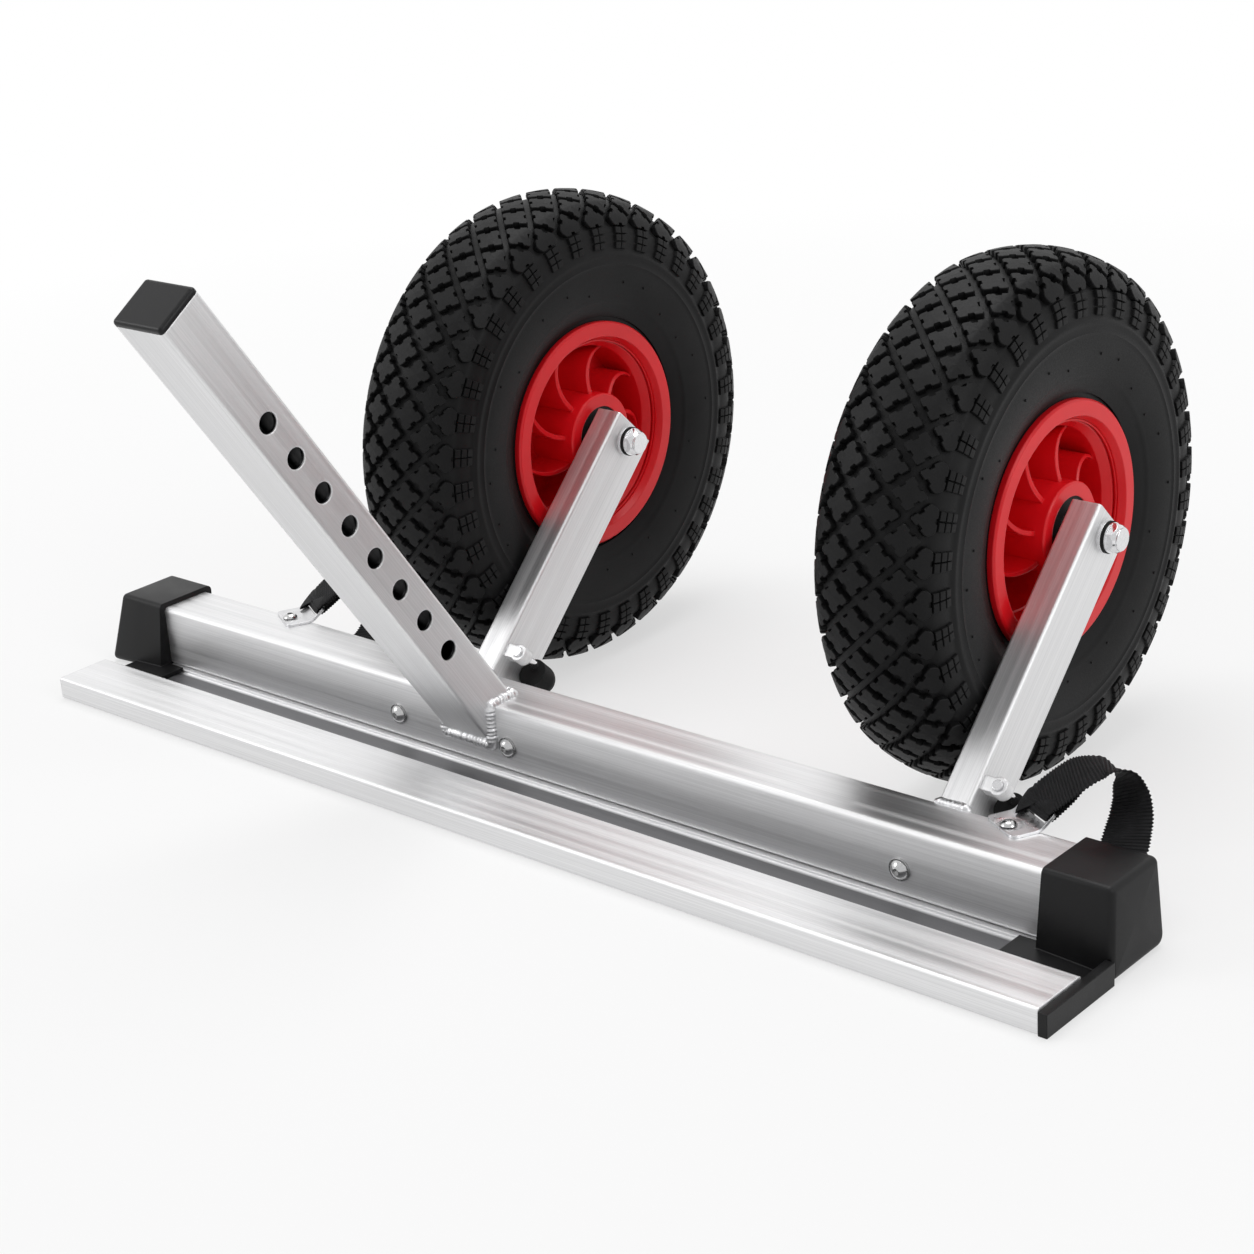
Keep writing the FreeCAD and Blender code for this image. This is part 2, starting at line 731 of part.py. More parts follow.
def strap(side):
    """Webbing loop as a band of ruled spans."""
    stations = strap_path(side)
    wires = []
    for index, (point, across) in enumerate(stations):
        before = stations[max(index - 1, 0)][0]
        after = stations[min(index + 1, len(stations) - 1)][0]
        if index == 0:
            tangent = strap_frame(side)[1]
        elif index >= len(stations) - 2:
            tangent = z_axis * -1
        else:
            tangent = after - before
        tangent.normalize()
        width = across - tangent * across.dot(tangent)
        width.normalize()
        normal = width.cross(tangent)
        half = width * (webbing_width / 2)
        rise = normal * (strap_thickness / 2)
        corners = [point - half - rise, point + half - rise, point + half + rise, point - half + rise]
        wires.append(Part.makePolygon(corners + corners[:1]))
    band = fused([Part.makeLoft([start, end], True, True) for start, end in zip(wires, wires[1:])])
    hole_start = clamp_centre(side) - y_axis * cut_over
    hole_length = strap_thickness + strap_gap + 2 * cut_over
    return band.cut(rod(strap_screw_radius + hole_fit, hole_start, y_axis, hole_length))


def stud_line(side):
    """Start of the buffer stud's axis, beside the arm's foot."""
    return arm_corner + arm_up * stud_along + x_axis * (arm_faces[side] + stud_side)


def buffer_lug(side):
    """Lug welded to the arm's outer face that holds the buffer's stud."""
    start = stud_line(side) + arm_under * lug_start
    barrel = rod(lug_radius, start, arm_under, lug_length)
    bridge_corner = start - arm_up * lug_bridge_drop - x_axis * stud_side
    bridge = rounded_bar(bridge_corner, x_axis, arm_up, stud_side, lug_bridge, lug_bridge_radius,
                         arm_under * lug_length)
    hole = rod(stud_radius + hole_fit, start - arm_under * cut_over, arm_under, lug_length + 2 * cut_over)
    return fused([barrel, bridge]).cut(hole)


def buffer_stud(side):
    """Steel stud between the lug and the rubber buffer."""
    return rod(stud_radius, stud_line(side) + arm_under * stud_start, arm_under, stud_reach)


def buffer(side):
    """Domed rubber buffer on the stud."""
    start = stud_line(side) + arm_under * buffer_start - arm_up * buffer_offset
    body = rod(buffer_radius, start, arm_under, buffer_body)
    dome = Part.makeSphere(buffer_radius, start + arm_under * buffer_body)
    keep = rod(buffer_radius, start, arm_under, buffer_body + buffer_radius)
    shape = fused([body, dome.common(keep)])
    hole = rod(stud_radius + hole_fit, stud_line(side), arm_under, stud_start + stud_reach + stud_end_gap)
    return shape.cut(hole)


def wheel_middle(side):
    """X of a wheel's middle plane."""
    return arm_faces[side] - arm_width - tyre_arm_gap - tyre_width / 2


def placed(shape, side):
    """Move a piece made about the X axis to a wheel's place."""
    moved = shape.copy()
    moved.translate(axle_centre + x_axis * wheel_middle(side))
    return moved


def rim():
    """Moulded wheel centre: hub, web, barrel, two flanges and curved ribs on both faces."""
    barrel_inner = seat_radius - barrel_wall
    taper = flange_inner - barrel_inner
    inside = flange_face - flange_thickness
    half = [(0, barrel_inner_end), (inside - taper, barrel_inner), (inside, flange_inner - flange_step),
            (flange_face, flange_inner), (flange_face, flange_radius - flange_edge),
            (flange_face - flange_edge, flange_radius), (inside, flange_radius), (inside, seat_radius)]
    mirrored = [(-x, r) for x, r in reversed(half)]
    barrel = revolved(half + mirrored[:-1])
    web = revolved([(-web_half, hub_radius - 2), (web_half, hub_radius - 2),
                    (web_half, barrel_inner_end + 2), (-web_half, barrel_inner_end + 2)])
    seat = bearing_outer + running_fit
    inner = bearing_inner_face()
    hub = revolved([(-hub_face, seat), (-inner, seat), (-inner, hub_core_radius),
                    (inner, hub_core_radius), (inner, seat), (hub_face, seat),
                    (hub_face, hub_radius - hub_edge), (hub_face - hub_edge, hub_radius),
                    (-hub_face + hub_edge, hub_radius), (-hub_face, hub_radius - hub_edge)])
    limit = revolved([(0, hub_radius - 2), (rib_hub_height, hub_radius - 2), (rib_hub_height, hub_radius + 1),
                      (rib_barrel_height, barrel_inner - 0.5), (rib_barrel_height - 3, barrel_inner + 1.5),
                      (0, barrel_inner + 1.5)])
    ribs = Part.makeCompound([rib(index * 360 / rib_count) for index in range(rib_count)]).common(limit)
    other = ribs.mirror(FreeCAD.Vector(0, 0, 0), x_axis)
    shape = barrel.multiFuse([web, hub] + ribs.Solids + other.Solids)
    hole = rod(valve_radius + tube_fit, FreeCAD.Vector(-valve_offset, 0, barrel_inner - 6), z_axis, 12)
    hole.rotate(FreeCAD.Vector(0, 0, 0), x_axis, valve_turn)
    return shape.cut(hole).removeSplitter()


def rib(start_angle):
    """One curved blade between hub and barrel, before its height is trimmed."""
    radii = (hub_radius - 1.5, (hub_radius + seat_radius) / 2, seat_radius - barrel_wall + 1.0)
    turns = (0.0, rib_sweep * 0.28, rib_sweep)
    sides = []
    for side in (-1, 1):
        points = []
        for radius, turn in zip(radii, turns):
            angle = math.radians(start_angle - turn) + side * rib_thickness / 2 / radius
            points.append(FreeCAD.Vector(0, radius * math.sin(-angle), radius * math.cos(angle)))
        sides.append(points)
    first, second = sides
    edges = [Part.Arc(*first).toShape(), Part.makeLine(first[2], second[2]),
             Part.Arc(second[2], second[1], second[0]).toShape(), Part.makeLine(second[0], first[0])]
    return Part.Face(Part.Wire(edges)).extrude(x_axis * rib_hub_height)


def ring_profile(half):
    """A closed wire from a half outline of line and arc steps, mirrored about x = 0."""
    edges = []
    for step in half:
        points = [FreeCAD.Vector(x, 0, r) for x, r in step]
        mirrored = [FreeCAD.Vector(-x, 0, r) for x, r in step]
        for corners in (points, mirrored):
            if len(corners) == 2 and (corners[0] - corners[1]).Length > 0.001:
                edges.append(Part.makeLine(corners[0], corners[1]))
            elif len(corners) == 3:
                edges.append(Part.Arc(*corners).toShape())
    return Part.Wire(Part.__sortEdges__(edges))


def tyre_steps(inset_tread, inset_side, foot_x, foot_radius, knee_lift=0.0):
    """Outline of half a tyre section, moved in by a wall, from the crown to its foot."""
    side = tyre_width / 2 - inset_side
    crown = tyre_radius - inset_tread
    shoulder = (side - tyre_shoulder_in, crown - tyre_shoulder_drop)
    shoulder_middle = (side - tyre_shoulder_bulge_in, crown - tyre_shoulder_bulge_drop)
    belly = (side, tyre_side_radius)
    belly_middle = (side - tyre_belly_in, tyre_side_radius - tyre_belly_drop)
    knee = (side - tyre_knee_in, flange_radius + tyre_knee_gap + knee_lift)
    crown_middle = (shoulder[0] / 2, crown - tyre_crown_sag)
    foot_top = (foot_x, knee[1])
    foot_bottom = (foot_x, foot_radius)
    return [[(0, crown), crown_middle, shoulder], [shoulder, shoulder_middle, belly],
            [belly, belly_middle, knee], [knee, foot_top], [foot_top, foot_bottom],
            [foot_bottom, (0, foot_radius)]]


def tyre():
    """Tyre cover: a hollow ring that is open towards the wheel centre."""
    flange_side = flange_face - flange_thickness - bead_fit
    foot = seat_radius + bead_fit
    outer = Part.Face(ring_profile(tyre_steps(0, 0, flange_side, foot)))
    outer = outer.revolve(FreeCAD.Vector(0, 0, 0), x_axis, 360)
    bead_inner = flange_side - tyre_bead_thickness
    inner = Part.Face(ring_profile(tyre_steps(tyre_tread, tyre_side_wall, bead_inner, foot - barrel_wall)))
    inner = inner.revolve(FreeCAD.Vector(0, 0, 0), x_axis, 360)
    return outer.cut(inner)


def inner_tube():
    """Rubber air tube inside the tyre."""
    thick = inner_tube_wall
    crown = tyre_tread + tube_fit
    wall = tyre_side_wall + tube_fit
    foot = seat_radius + tube_fit
    bead_inner = flange_face - flange_thickness - bead_fit - tyre_bead_thickness - tube_fit
    outer = Part.Face(ring_profile(tyre_steps(crown, wall, bead_inner, foot)))
    outer = outer.revolve(FreeCAD.Vector(0, 0, 0), x_axis, 360)
    inner = Part.Face(ring_profile(tyre_steps(crown + thick, wall + thick, bead_inner - thick,
                                              foot + thick, thick)))
    inner = inner.revolve(FreeCAD.Vector(0, 0, 0), x_axis, 360)
    return outer.cut(inner)


def valve():
    """Tyre valve stem, from the air tube through the barrel."""
    start = FreeCAD.Vector(-valve_offset, 0, seat_radius - valve_length)
    stem = rod(valve_radius, start, z_axis, valve_length)
    cap = rod(valve_radius + valve_cap_wall, start - z_axis * valve_cap_end, z_axis, valve_cap_length)
    shape = fused([stem, cap])
    shape.rotate(FreeCAD.Vector(0, 0, 0), x_axis, valve_turn)
    return shape


def bearing_inner_face():
    """How far from the wheel's middle plane the bearings' inner faces are."""
    return hub_face - seal_recess - seal_thickness - running_fit - bearing_width


def both_sides(shape):
    """A piece and its mirror image across the wheel's middle plane."""
    return [shape, shape.mirror(FreeCAD.Vector(0, 0, 0), x_axis)]


def tube_ring(x0, x1, inner, outer):
    """A plain ring about the X axis."""
    return revolved([(x0, inner), (x1, inner), (x1, outer), (x0, outer)])


def bearing_outer_races():
    """Outer rings of the two hub bearings."""
    x0 = bearing_inner_face()
    return both_sides(tube_ring(x0, x0 + bearing_width, bearing_outer - race_wall, bearing_outer))


def bearing_inner_races():
    """Inner rings of the two hub bearings, on the axle sleeve."""
    x0 = bearing_inner_face()
    bore = axle_radius + running_fit
    return both_sides(tube_ring(x0, x0 + bearing_width, bore, ball_circle() - ball_radius - running_fit))


def ball_circle():
    """Radius of the circle that the balls' centres lie on."""
    return bearing_outer - race_wall - running_fit - ball_radius


def bearing_balls():
    """Balls of both bearings."""
    x = bearing_inner_face() + bearing_width / 2
    circle = ball_circle()
    balls = []
    for index in range(ball_count):
        angle = 2 * math.pi * index / ball_count
        for side in (-1, 1):
            centre = FreeCAD.Vector(side * x, circle * math.sin(angle), circle * math.cos(angle))
            balls.append(Part.makeSphere(ball_radius, centre))
    return balls


def hub_seals():
    """Rubber dust seals in the hub's two mouths."""
    x0 = hub_face - seal_recess - seal_thickness
    return both_sides(tube_ring(x0, x0 + seal_thickness, axle_radius + seal_gap, bearing_outer))


def bearing_spacer():
    """Tube that keeps the inner races apart on the sleeve."""
    x = bearing_inner_face()
    outer = ball_circle() - ball_radius - running_fit - spacer_step
    return tube_ring(-x, x, axle_radius + running_fit, outer)


def sleeve_end():
    """Distance from the wheel's middle plane to the arm's face."""
    return tyre_width / 2 + tyre_arm_gap


def axle_sleeve():
    """Steel sleeve that carries the bearings, clamped between the arm and the retainer washer."""
    return tube_ring(-hub_face - sleeve_back, sleeve_end(), bolt_radius + running_fit, axle_radius)


def axle_bolt():
    """Through bolt with its hexagon head on the wheel's outer side."""
    head_seat = -hub_face - sleeve_back - retainer_thickness
    tip = nut_start() + nut_flange + nut_height * bolt_thread_share
    shank = rod(bolt_radius, FreeCAD.Vector(head_seat - head_height / 2, 0, 0), x_axis,
                tip - head_seat + head_height / 2)
    head = hexagon(head_flats, FreeCAD.Vector(head_seat, 0, 0), x_axis * -1, head_height)
    return fused([head, shank])


def axle_washers():
    """Retainer washer at the wheel's outer side and washer on the arm."""
    bore = bolt_radius + running_fit
    start = -hub_face - sleeve_back
    face = sleeve_end() + arm_width
    return [tube_ring(start - retainer_thickness, start, bore, retainer_radius),
            tube_ring(face, face + washer_thickness, bore, washer_radius)]


def axle_ring():
    """Black ring between the washer and the nut."""
    start = sleeve_end() + arm_width + washer_thickness
    return tube_ring(start, start + ring_thickness, bolt_radius + running_fit, ring_radius)


def nut_start():
    """Distance from the wheel's middle plane to the nut's flange."""
    return sleeve_end() + arm_width + washer_thickness + ring_thickness


def axle_nut():
    """Closed flange nut with a rounded end."""
    start = nut_start()
    flange = rod(nut_flange_radius, FreeCAD.Vector(start, 0, 0), x_axis, nut_flange)
    hexagonal = hexagon(head_flats, FreeCAD.Vector(start, 0, 0), x_axis, nut_flange + nut_height)
    end = start + nut_flange + nut_height
    corner_radius = head_flats / math.sqrt(3)
    cone = Part.makeCone(corner_radius + nut_cone_grow, head_flats / 2 - nut_corner_cut,
                         nut_height + nut_flange, FreeCAD.Vector(start, 0, 0), x_axis)
    boss = rod(nut_boss_radius, FreeCAD.Vector(end - cut_over, 0, 0), x_axis, cut_over + nut_boss)
    boss = boss.makeFillet(nut_boss / 2, [edge for edge in boss.Edges if edge.CenterOfMass.x > end])
    shape = fused([flange, hexagonal.common(cone), boss])
    thread = rod(bolt_radius + running_fit, FreeCAD.Vector(start - cut_over, 0, 0), x_axis,
                 cut_over + nut_flange + nut_height * nut_thread_share)
    return shape.cut(thread)


def build():
    """Make every node's file."""
    os.makedirs("parts", exist_ok=True)
    save("base_profile", base_profile())
    save("cross_tube", cross_tube())
    save("drawbar_tube", drawbar_tube())
    save("drawbar_plug", drawbar_plug())
    save("drawbar_weld", drawbar_weld())
    save("fixing_blocks", Part.makeCompound([fixing_block(x) for x in face_screw_x]))
    save("face_screws", Part.makeCompound(face_screws()))
    save("face_washers", Part.makeCompound(face_washers()))
    save("base_screws", Part.makeCompound([countersunk_screw(x, y, 0.0) for x, y in base_screw_places()]))
    wheel_pieces = {
        "rim": rim(), "tyre": tyre(), "inner_tube": inner_tube(), "valve": valve(),
        "bearing_outer": Part.makeCompound(bearing_outer_races()),
        "bearing_balls": Part.makeCompound(bearing_balls()),
        "hub_seals": Part.makeCompound(hub_seals()),
        "bearing_inner": Part.makeCompound(bearing_inner_races()),
        "bearing_spacer": bearing_spacer(), "axle_sleeve": axle_sleeve(), "axle_bolt": axle_bolt(),
        "axle_washers": Part.makeCompound(axle_washers()), "axle_ring": axle_ring(), "axle_nut": axle_nut(),
    }
    for side, sign in (("left", -1), ("right", 1)):
        save("end_cap_" + side, end_cap(sign))
        save("wheel_arm_" + side, wheel_arm(side))
        save("arm_weld_" + side, arm_weld(side))
        save("strap_plate_" + side, strap_plate(side))
        save("strap_clamp_" + side, strap_clamp(side))
        save("strap_screws_" + side, Part.makeCompound(strap_screws(side)))
        save("strap_" + side, strap(side))
        save("buffer_lug_" + side, buffer_lug(side))
        save("buffer_stud_" + side, buffer_stud(side))
        save("buffer_" + side, buffer(side))
        for name, shape in wheel_pieces.items():
            save(name + "_" + side, placed(shape, side))


build()
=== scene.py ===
"""Looks of the two-wheeled transport bar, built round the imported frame. Metres, X along the bar."""
import math
import random

import bpy
import numpy as np
from mathutils import Matrix, Vector


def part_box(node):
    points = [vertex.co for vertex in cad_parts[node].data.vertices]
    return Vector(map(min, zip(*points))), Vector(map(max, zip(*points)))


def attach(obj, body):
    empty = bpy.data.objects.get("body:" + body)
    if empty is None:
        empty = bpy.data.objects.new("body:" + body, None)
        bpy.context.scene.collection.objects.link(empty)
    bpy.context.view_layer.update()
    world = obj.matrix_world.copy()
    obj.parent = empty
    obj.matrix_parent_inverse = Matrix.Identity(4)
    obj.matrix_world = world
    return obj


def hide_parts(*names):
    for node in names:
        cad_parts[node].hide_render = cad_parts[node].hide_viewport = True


MM = 0.001
SIDES = ("left", "right")

# Places that part.py also holds
TUBE_BACK = 47.5
TUBE_FRONT = 15.5
TUBE_TOP = 37.0
SEAT_TOP = 3.0
BAR_BACK = -14.5
BAR_HEIGHT = 12.5
ARM_FACE = {"left": -73.1, "right": 222.9}
ARM_WIDTH = 16.0
DRAWBAR_RIGHT = -43.9
DRAWBAR_WIDTH = 33.0
DRAWBAR_DEPTH = 26.3
DRAWBAR_SEAT = 17.3
DRAWBAR_LEAN = math.radians(33.75)
ARM_LEAN = math.radians(45.7)
TYRE_RADIUS = 130.0
TYRE_SIDE = 33.75
STRAP_SCREW_X = {"left": -223.7, "right": 247.7}
STRAP_TURN = math.radians(28.0)
STRAP_EDGE = 4.7
PLATE_FRONT = 4.8
PLATE_FLAT = 7.0
PLATE_BEND_RADIUS = 6.0
PLATE_BEND = math.radians(40.0)
PLATE_RAMP = 8.0
PLATE_THICKNESS = 1.5
CLAMP_X = 49.5
CLAMP_Z = 20.0
CAP_WALL = 3.0
CAP_GRIP = 28.0
CAP_END_WALL = 6.5
CAP_DRAFT = 6.0
CAP_ROUND = 3.0
CAP_FLOOR = 1.0
CAP_FOOT = 12.0
CAP_FOOT_TOP = 4.0
CAP_TAIL = 4.5
TUBE_HALF = 320.0
TUBE_SHIFT = -8.0
BAR_HALF = 320.0
BASE_HALF = 47.5


# Camera

def make_camera():
    """The photograph's viewpoint, found by fitting the bar's and wheels' edges."""
    azimuth, elevation, roll = (math.radians(a) for a in (42.46, 21.68, -4.08))
    back = Vector((math.sin(azimuth) * math.cos(elevation),
                   -math.cos(azimuth) * math.cos(elevation), math.sin(elevation)))
    across = Vector((0, 0, 1)).cross(back).normalized()
    up = back.cross(across)
    right = across * math.cos(roll) + up * math.sin(roll)
    top = up * math.cos(roll) - across * math.sin(roll)
    place = Vector((0.81517, -0.81663, 0.54891))
    data = bpy.data.cameras.new("camera")
    data.sensor_width = 36.0
    data.lens = 73.84
    data.clip_start = 0.02
    data.clip_end = 60.0
    camera = bpy.data.objects.new("camera", data)
    columns = (right, top, back, place)
    camera.matrix_world = Matrix([[c[row] for c in columns] for row in range(3)] + [[0, 0, 0, 1]])
    bpy.context.scene.collection.objects.link(camera)
    bpy.context.scene.camera = camera


# Materials

# Sockets of a Mix node that mixes colours
MIX_FIRST = 6
MIX_SECOND = 7
MIX_RESULT = 2


def add_node(tree, kind, **settings):
    """A new shader node with its attributes set."""
    made = tree.nodes.new(kind)
    for key, value in settings.items():
        setattr(made, key, value)
    return made


class Finish:
    """A node material: a Principled shader with object-space patterns on its inputs."""

    def __init__(self, name, colour, metallic=0.0, roughness=0.5):
        self.material = bpy.data.materials.new(name)
        self.material.use_nodes = True
        self.tree = self.material.node_tree
        self.shader = self.tree.nodes["Principled BSDF"]
        self.shader.inputs["Base Color"].default_value = (*colour, 1.0)
        self.shader.inputs["Metallic"].default_value = metallic
        self.shader.inputs["Roughness"].default_value = roughness
        self.height = None

    def node(self, kind, **settings):
        return add_node(self.tree, kind, **settings)

    def link(self, start, end):
        self.tree.links.new(start, end)

    def place(self, stretch=(1.0, 1.0, 1.0), turn_x=0.0):
        """Object coordinates, turned about X and then stretched."""
        coordinates = self.node("ShaderNodeTexCoord")
        turned = self.node("ShaderNodeMapping")
        turned.inputs["Rotation"].default_value = (turn_x, 0.0, 0.0)
        scaled = self.node("ShaderNodeMapping")
        scaled.inputs["Scale"].default_value = stretch
        self.link(coordinates.outputs["Object"], turned.inputs["Vector"])
        self.link(turned.outputs["Vector"], scaled.inputs["Vector"])
        return scaled.outputs["Vector"]

    def noise(self, scale, detail, stretch=(1.0, 1.0, 1.0), turn_x=0.0):
        made = self.node("ShaderNodeTexNoise")
        made.inputs["Scale"].default_value = scale
        made.inputs["Detail"].default_value = detail
        made.inputs["Roughness"].default_value = 0.55
        self.link(self.place(stretch, turn_x), made.inputs["Vector"])
        return made.outputs["Fac"]

    def spread(self, source, low, high, at=(0.3, 0.7)):
        """Maps a pattern's middle range onto low to high."""
        made = self.node("ShaderNodeMapRange")
        made.inputs["From Min"].default_value = at[0]
        made.inputs["From Max"].default_value = at[1]
        made.inputs["To Min"].default_value = low
        made.inputs["To Max"].default_value = high
        self.link(source, made.inputs["Value"])
        return made.outputs["Result"]

    def tint(self, source, low, high, at=(0.3, 0.7)):
        """Base colour runs between two colours along a pattern."""
        ramp = self.node("ShaderNodeValToRGB")
        ramp.color_ramp.elements[0].position = at[0]
        ramp.color_ramp.elements[1].position = at[1]
        ramp.color_ramp.elements[0].color = (*low, 1.0)
        ramp.color_ramp.elements[1].color = (*high, 1.0)
        self.link(source, ramp.inputs["Fac"])
        self.link(ramp.outputs["Color"], self.shader.inputs["Base Color"])
        return self

    def rough(self, source, low, high, at=(0.3, 0.7)):
        self.link(self.spread(source, low, high, at), self.shader.inputs["Roughness"])
        return self

    def bump(self, source, depth):
        """Adds a relief of a depth in metres."""
        made = self.node("ShaderNodeBump")
        made.inputs["Strength"].default_value = 1.0
        made.inputs["Distance"].default_value = depth
        self.link(source, made.inputs["Height"])
        if self.height is not None:
            self.link(self.height, made.inputs["Normal"])
        self.height = made.outputs["Normal"]
        self.link(self.height, self.shader.inputs["Normal"])
        return self

    def inside(self, ranges, fade, turn_x=0.0, pivot=(0.0, 0.0, 0.0)):
        """1 inside a box of (low, high) pairs in millimetres, turned about X at a pivot."""
        coordinates = self.node("ShaderNodeTexCoord")
        moved = self.node("ShaderNodeVectorMath", operation="SUBTRACT")
        moved.inputs[1].default_value = tuple(p * MM for p in pivot)
        turned = self.node("ShaderNodeMapping")
        turned.inputs["Rotation"].default_value = (turn_x, 0.0, 0.0)
        split = self.node("ShaderNodeSeparateXYZ")
        self.link(coordinates.outputs["Object"], moved.inputs[0])
        self.link(moved.outputs["Vector"], turned.inputs["Vector"])
        self.link(turned.outputs["Vector"], split.inputs["Vector"])
        product = None
        for axis, (low, high) in zip("XYZ", ranges):
            for edge, sign in ((low, 1), (high, -1)):
                if edge is None:
                    continue
                made = self.spread(split.outputs[axis], 0.0, 1.0, (edge * MM, (edge + sign * fade) * MM))
                if product is not None:
                    both = self.node("ShaderNodeMath", operation="MULTIPLY")
                    self.link(product, both.inputs[0])
                    self.link(made, both.inputs[1])
                    made = both.outputs[0]
                product = made
        return product

    def paint_shade(self, mask, colour):
        """Paints shade: mixes the base colour towards a darker colour where a mask is 1."""
        source = self.shader.inputs["Base Color"].links[0].from_socket
        mix = self.node("ShaderNodeMix", data_type="RGBA")
        self.link(mask, mix.inputs["Factor"])
        self.link(source, mix.inputs[MIX_FIRST])
        mix.inputs[MIX_SECOND].default_value = (*colour, 1.0)
        self.link(mix.outputs[MIX_RESULT], self.shader.inputs["Base Color"])
        return self

    def soften(self, radius):
        """Rounds the edges in shading only."""
        made = self.node("ShaderNodeBevel")
        made.samples = 6
        made.inputs["Radius"].default_value = radius
        self.height = made.outputs["Normal"]
        self.link(self.height, self.shader.inputs["Normal"])
        return self


def brushed(name, colour, stretch, turn_x=0.0, roughness=(0.40, 0.56), depth=0.000012, edge=0.0011):
    """Metal with fine lengthwise drawing marks, as a finish that can be changed further."""
    made = Finish(name, colour, 1.0).soften(edge)
    fine = made.noise(1.0, 4.0, stretch, turn_x)
    broad = made.noise(1.0, 2.0, tuple(s * 0.12 for s in stretch), turn_x)
    darker = tuple(c * 0.86 for c in colour)
    lighter = tuple(min(c * 1.05, 1.0) for c in colour)
    made.tint(fine, darker, lighter, (0.25, 0.75))
    made.rough(broad, roughness[0], roughness[1])
    made.bump(fine, depth)
    return made


def plain_metal(name, colour, roughness, edge=0.0003, grain=900.0):
    """Machined steel with slight variation."""
    made = Finish(name, colour, 1.0, roughness).soften(edge)
    fine = made.noise(grain, 3.0)
    made.tint(fine, tuple(c * 0.9 for c in colour), colour)
    made.rough(fine, roughness * 0.8, roughness * 1.3)
    return made.material


def grained_plastic(name, colour, lighter, roughness):
    """Injection-moulded plastic with a fine spark-eroded grain."""
    made = Finish(name, colour, 0.0, roughness[0]).soften(0.0008)
    grain = made.noise(2600.0, 2.0)
    patch = made.noise(45.0, 3.0)
    made.tint(patch, colour, lighter)
    made.rough(patch, roughness[0], roughness[1])
    made.bump(grain, 0.00006)
    made.shader.inputs["Specular IOR Level"].default_value = 0.24
    return made.material


def rubber(name, colour, lighter, roughness, grain=1500.0):
    """Moulded rubber with faint dust and mould texture."""
    made = Finish(name, colour, 0.0, roughness[0])
    fine = made.noise(grain, 3.0)
    patch = made.noise(28.0, 4.0)
    made.tint(patch, colour, lighter)
    made.rough(fine, roughness[0], roughness[1])
    made.bump(fine, 0.00005)
    made.shader.inputs["Specular IOR Level"].default_value = 0.16
    return made.material


def red_plastic():
    """Satin red moulded plastic, a little darker in the mould's flow."""
    made = Finish("rim_red", (0.68, 0.005, 0.010), 0.0, 0.32).soften(0.0009)
    patch = made.noise(30.0, 3.0)
    grain = made.noise(1800.0, 2.0)
    made.tint(patch, (0.70, 0.005, 0.010), (0.80, 0.009, 0.016))
    made.rough(patch, 0.27, 0.38)
    made.bump(grain, 0.00003)
    made.shader.inputs["Specular IOR Level"].default_value = 0.35
    return made.material


def webbing_finish():
    """Black polypropylene webbing: the ribs are geometry, and the yarns are relief."""
    made = Finish("webbing", (0.012, 0.012, 0.013), 0.0, 0.62)
    yarn = made.noise(4200.0, 2.0)
    patch = made.noise(220.0, 3.0)
    made.tint(patch, (0.004, 0.004, 0.0045), (0.010, 0.010, 0.011))
    made.rough(yarn, 0.5, 0.8)
    made.bump(yarn, 0.00012)
    made.shader.inputs["Specular IOR Level"].default_value = 0.2
    return made.material


def weld_finish():
    """Bare weld metal, its tone and roughness varied by a fine noise."""
    made = Finish("weld", (0.80, 0.80, 0.81), 1.0, 0.36)
    fine = made.noise(700.0, 4.0)
    made.tint(fine, (0.62, 0.62, 0.63), (0.88, 0.88, 0.89))
    made.rough(fine, 0.28, 0.5)
    made.bump(fine, 0.00015)
    return made.material


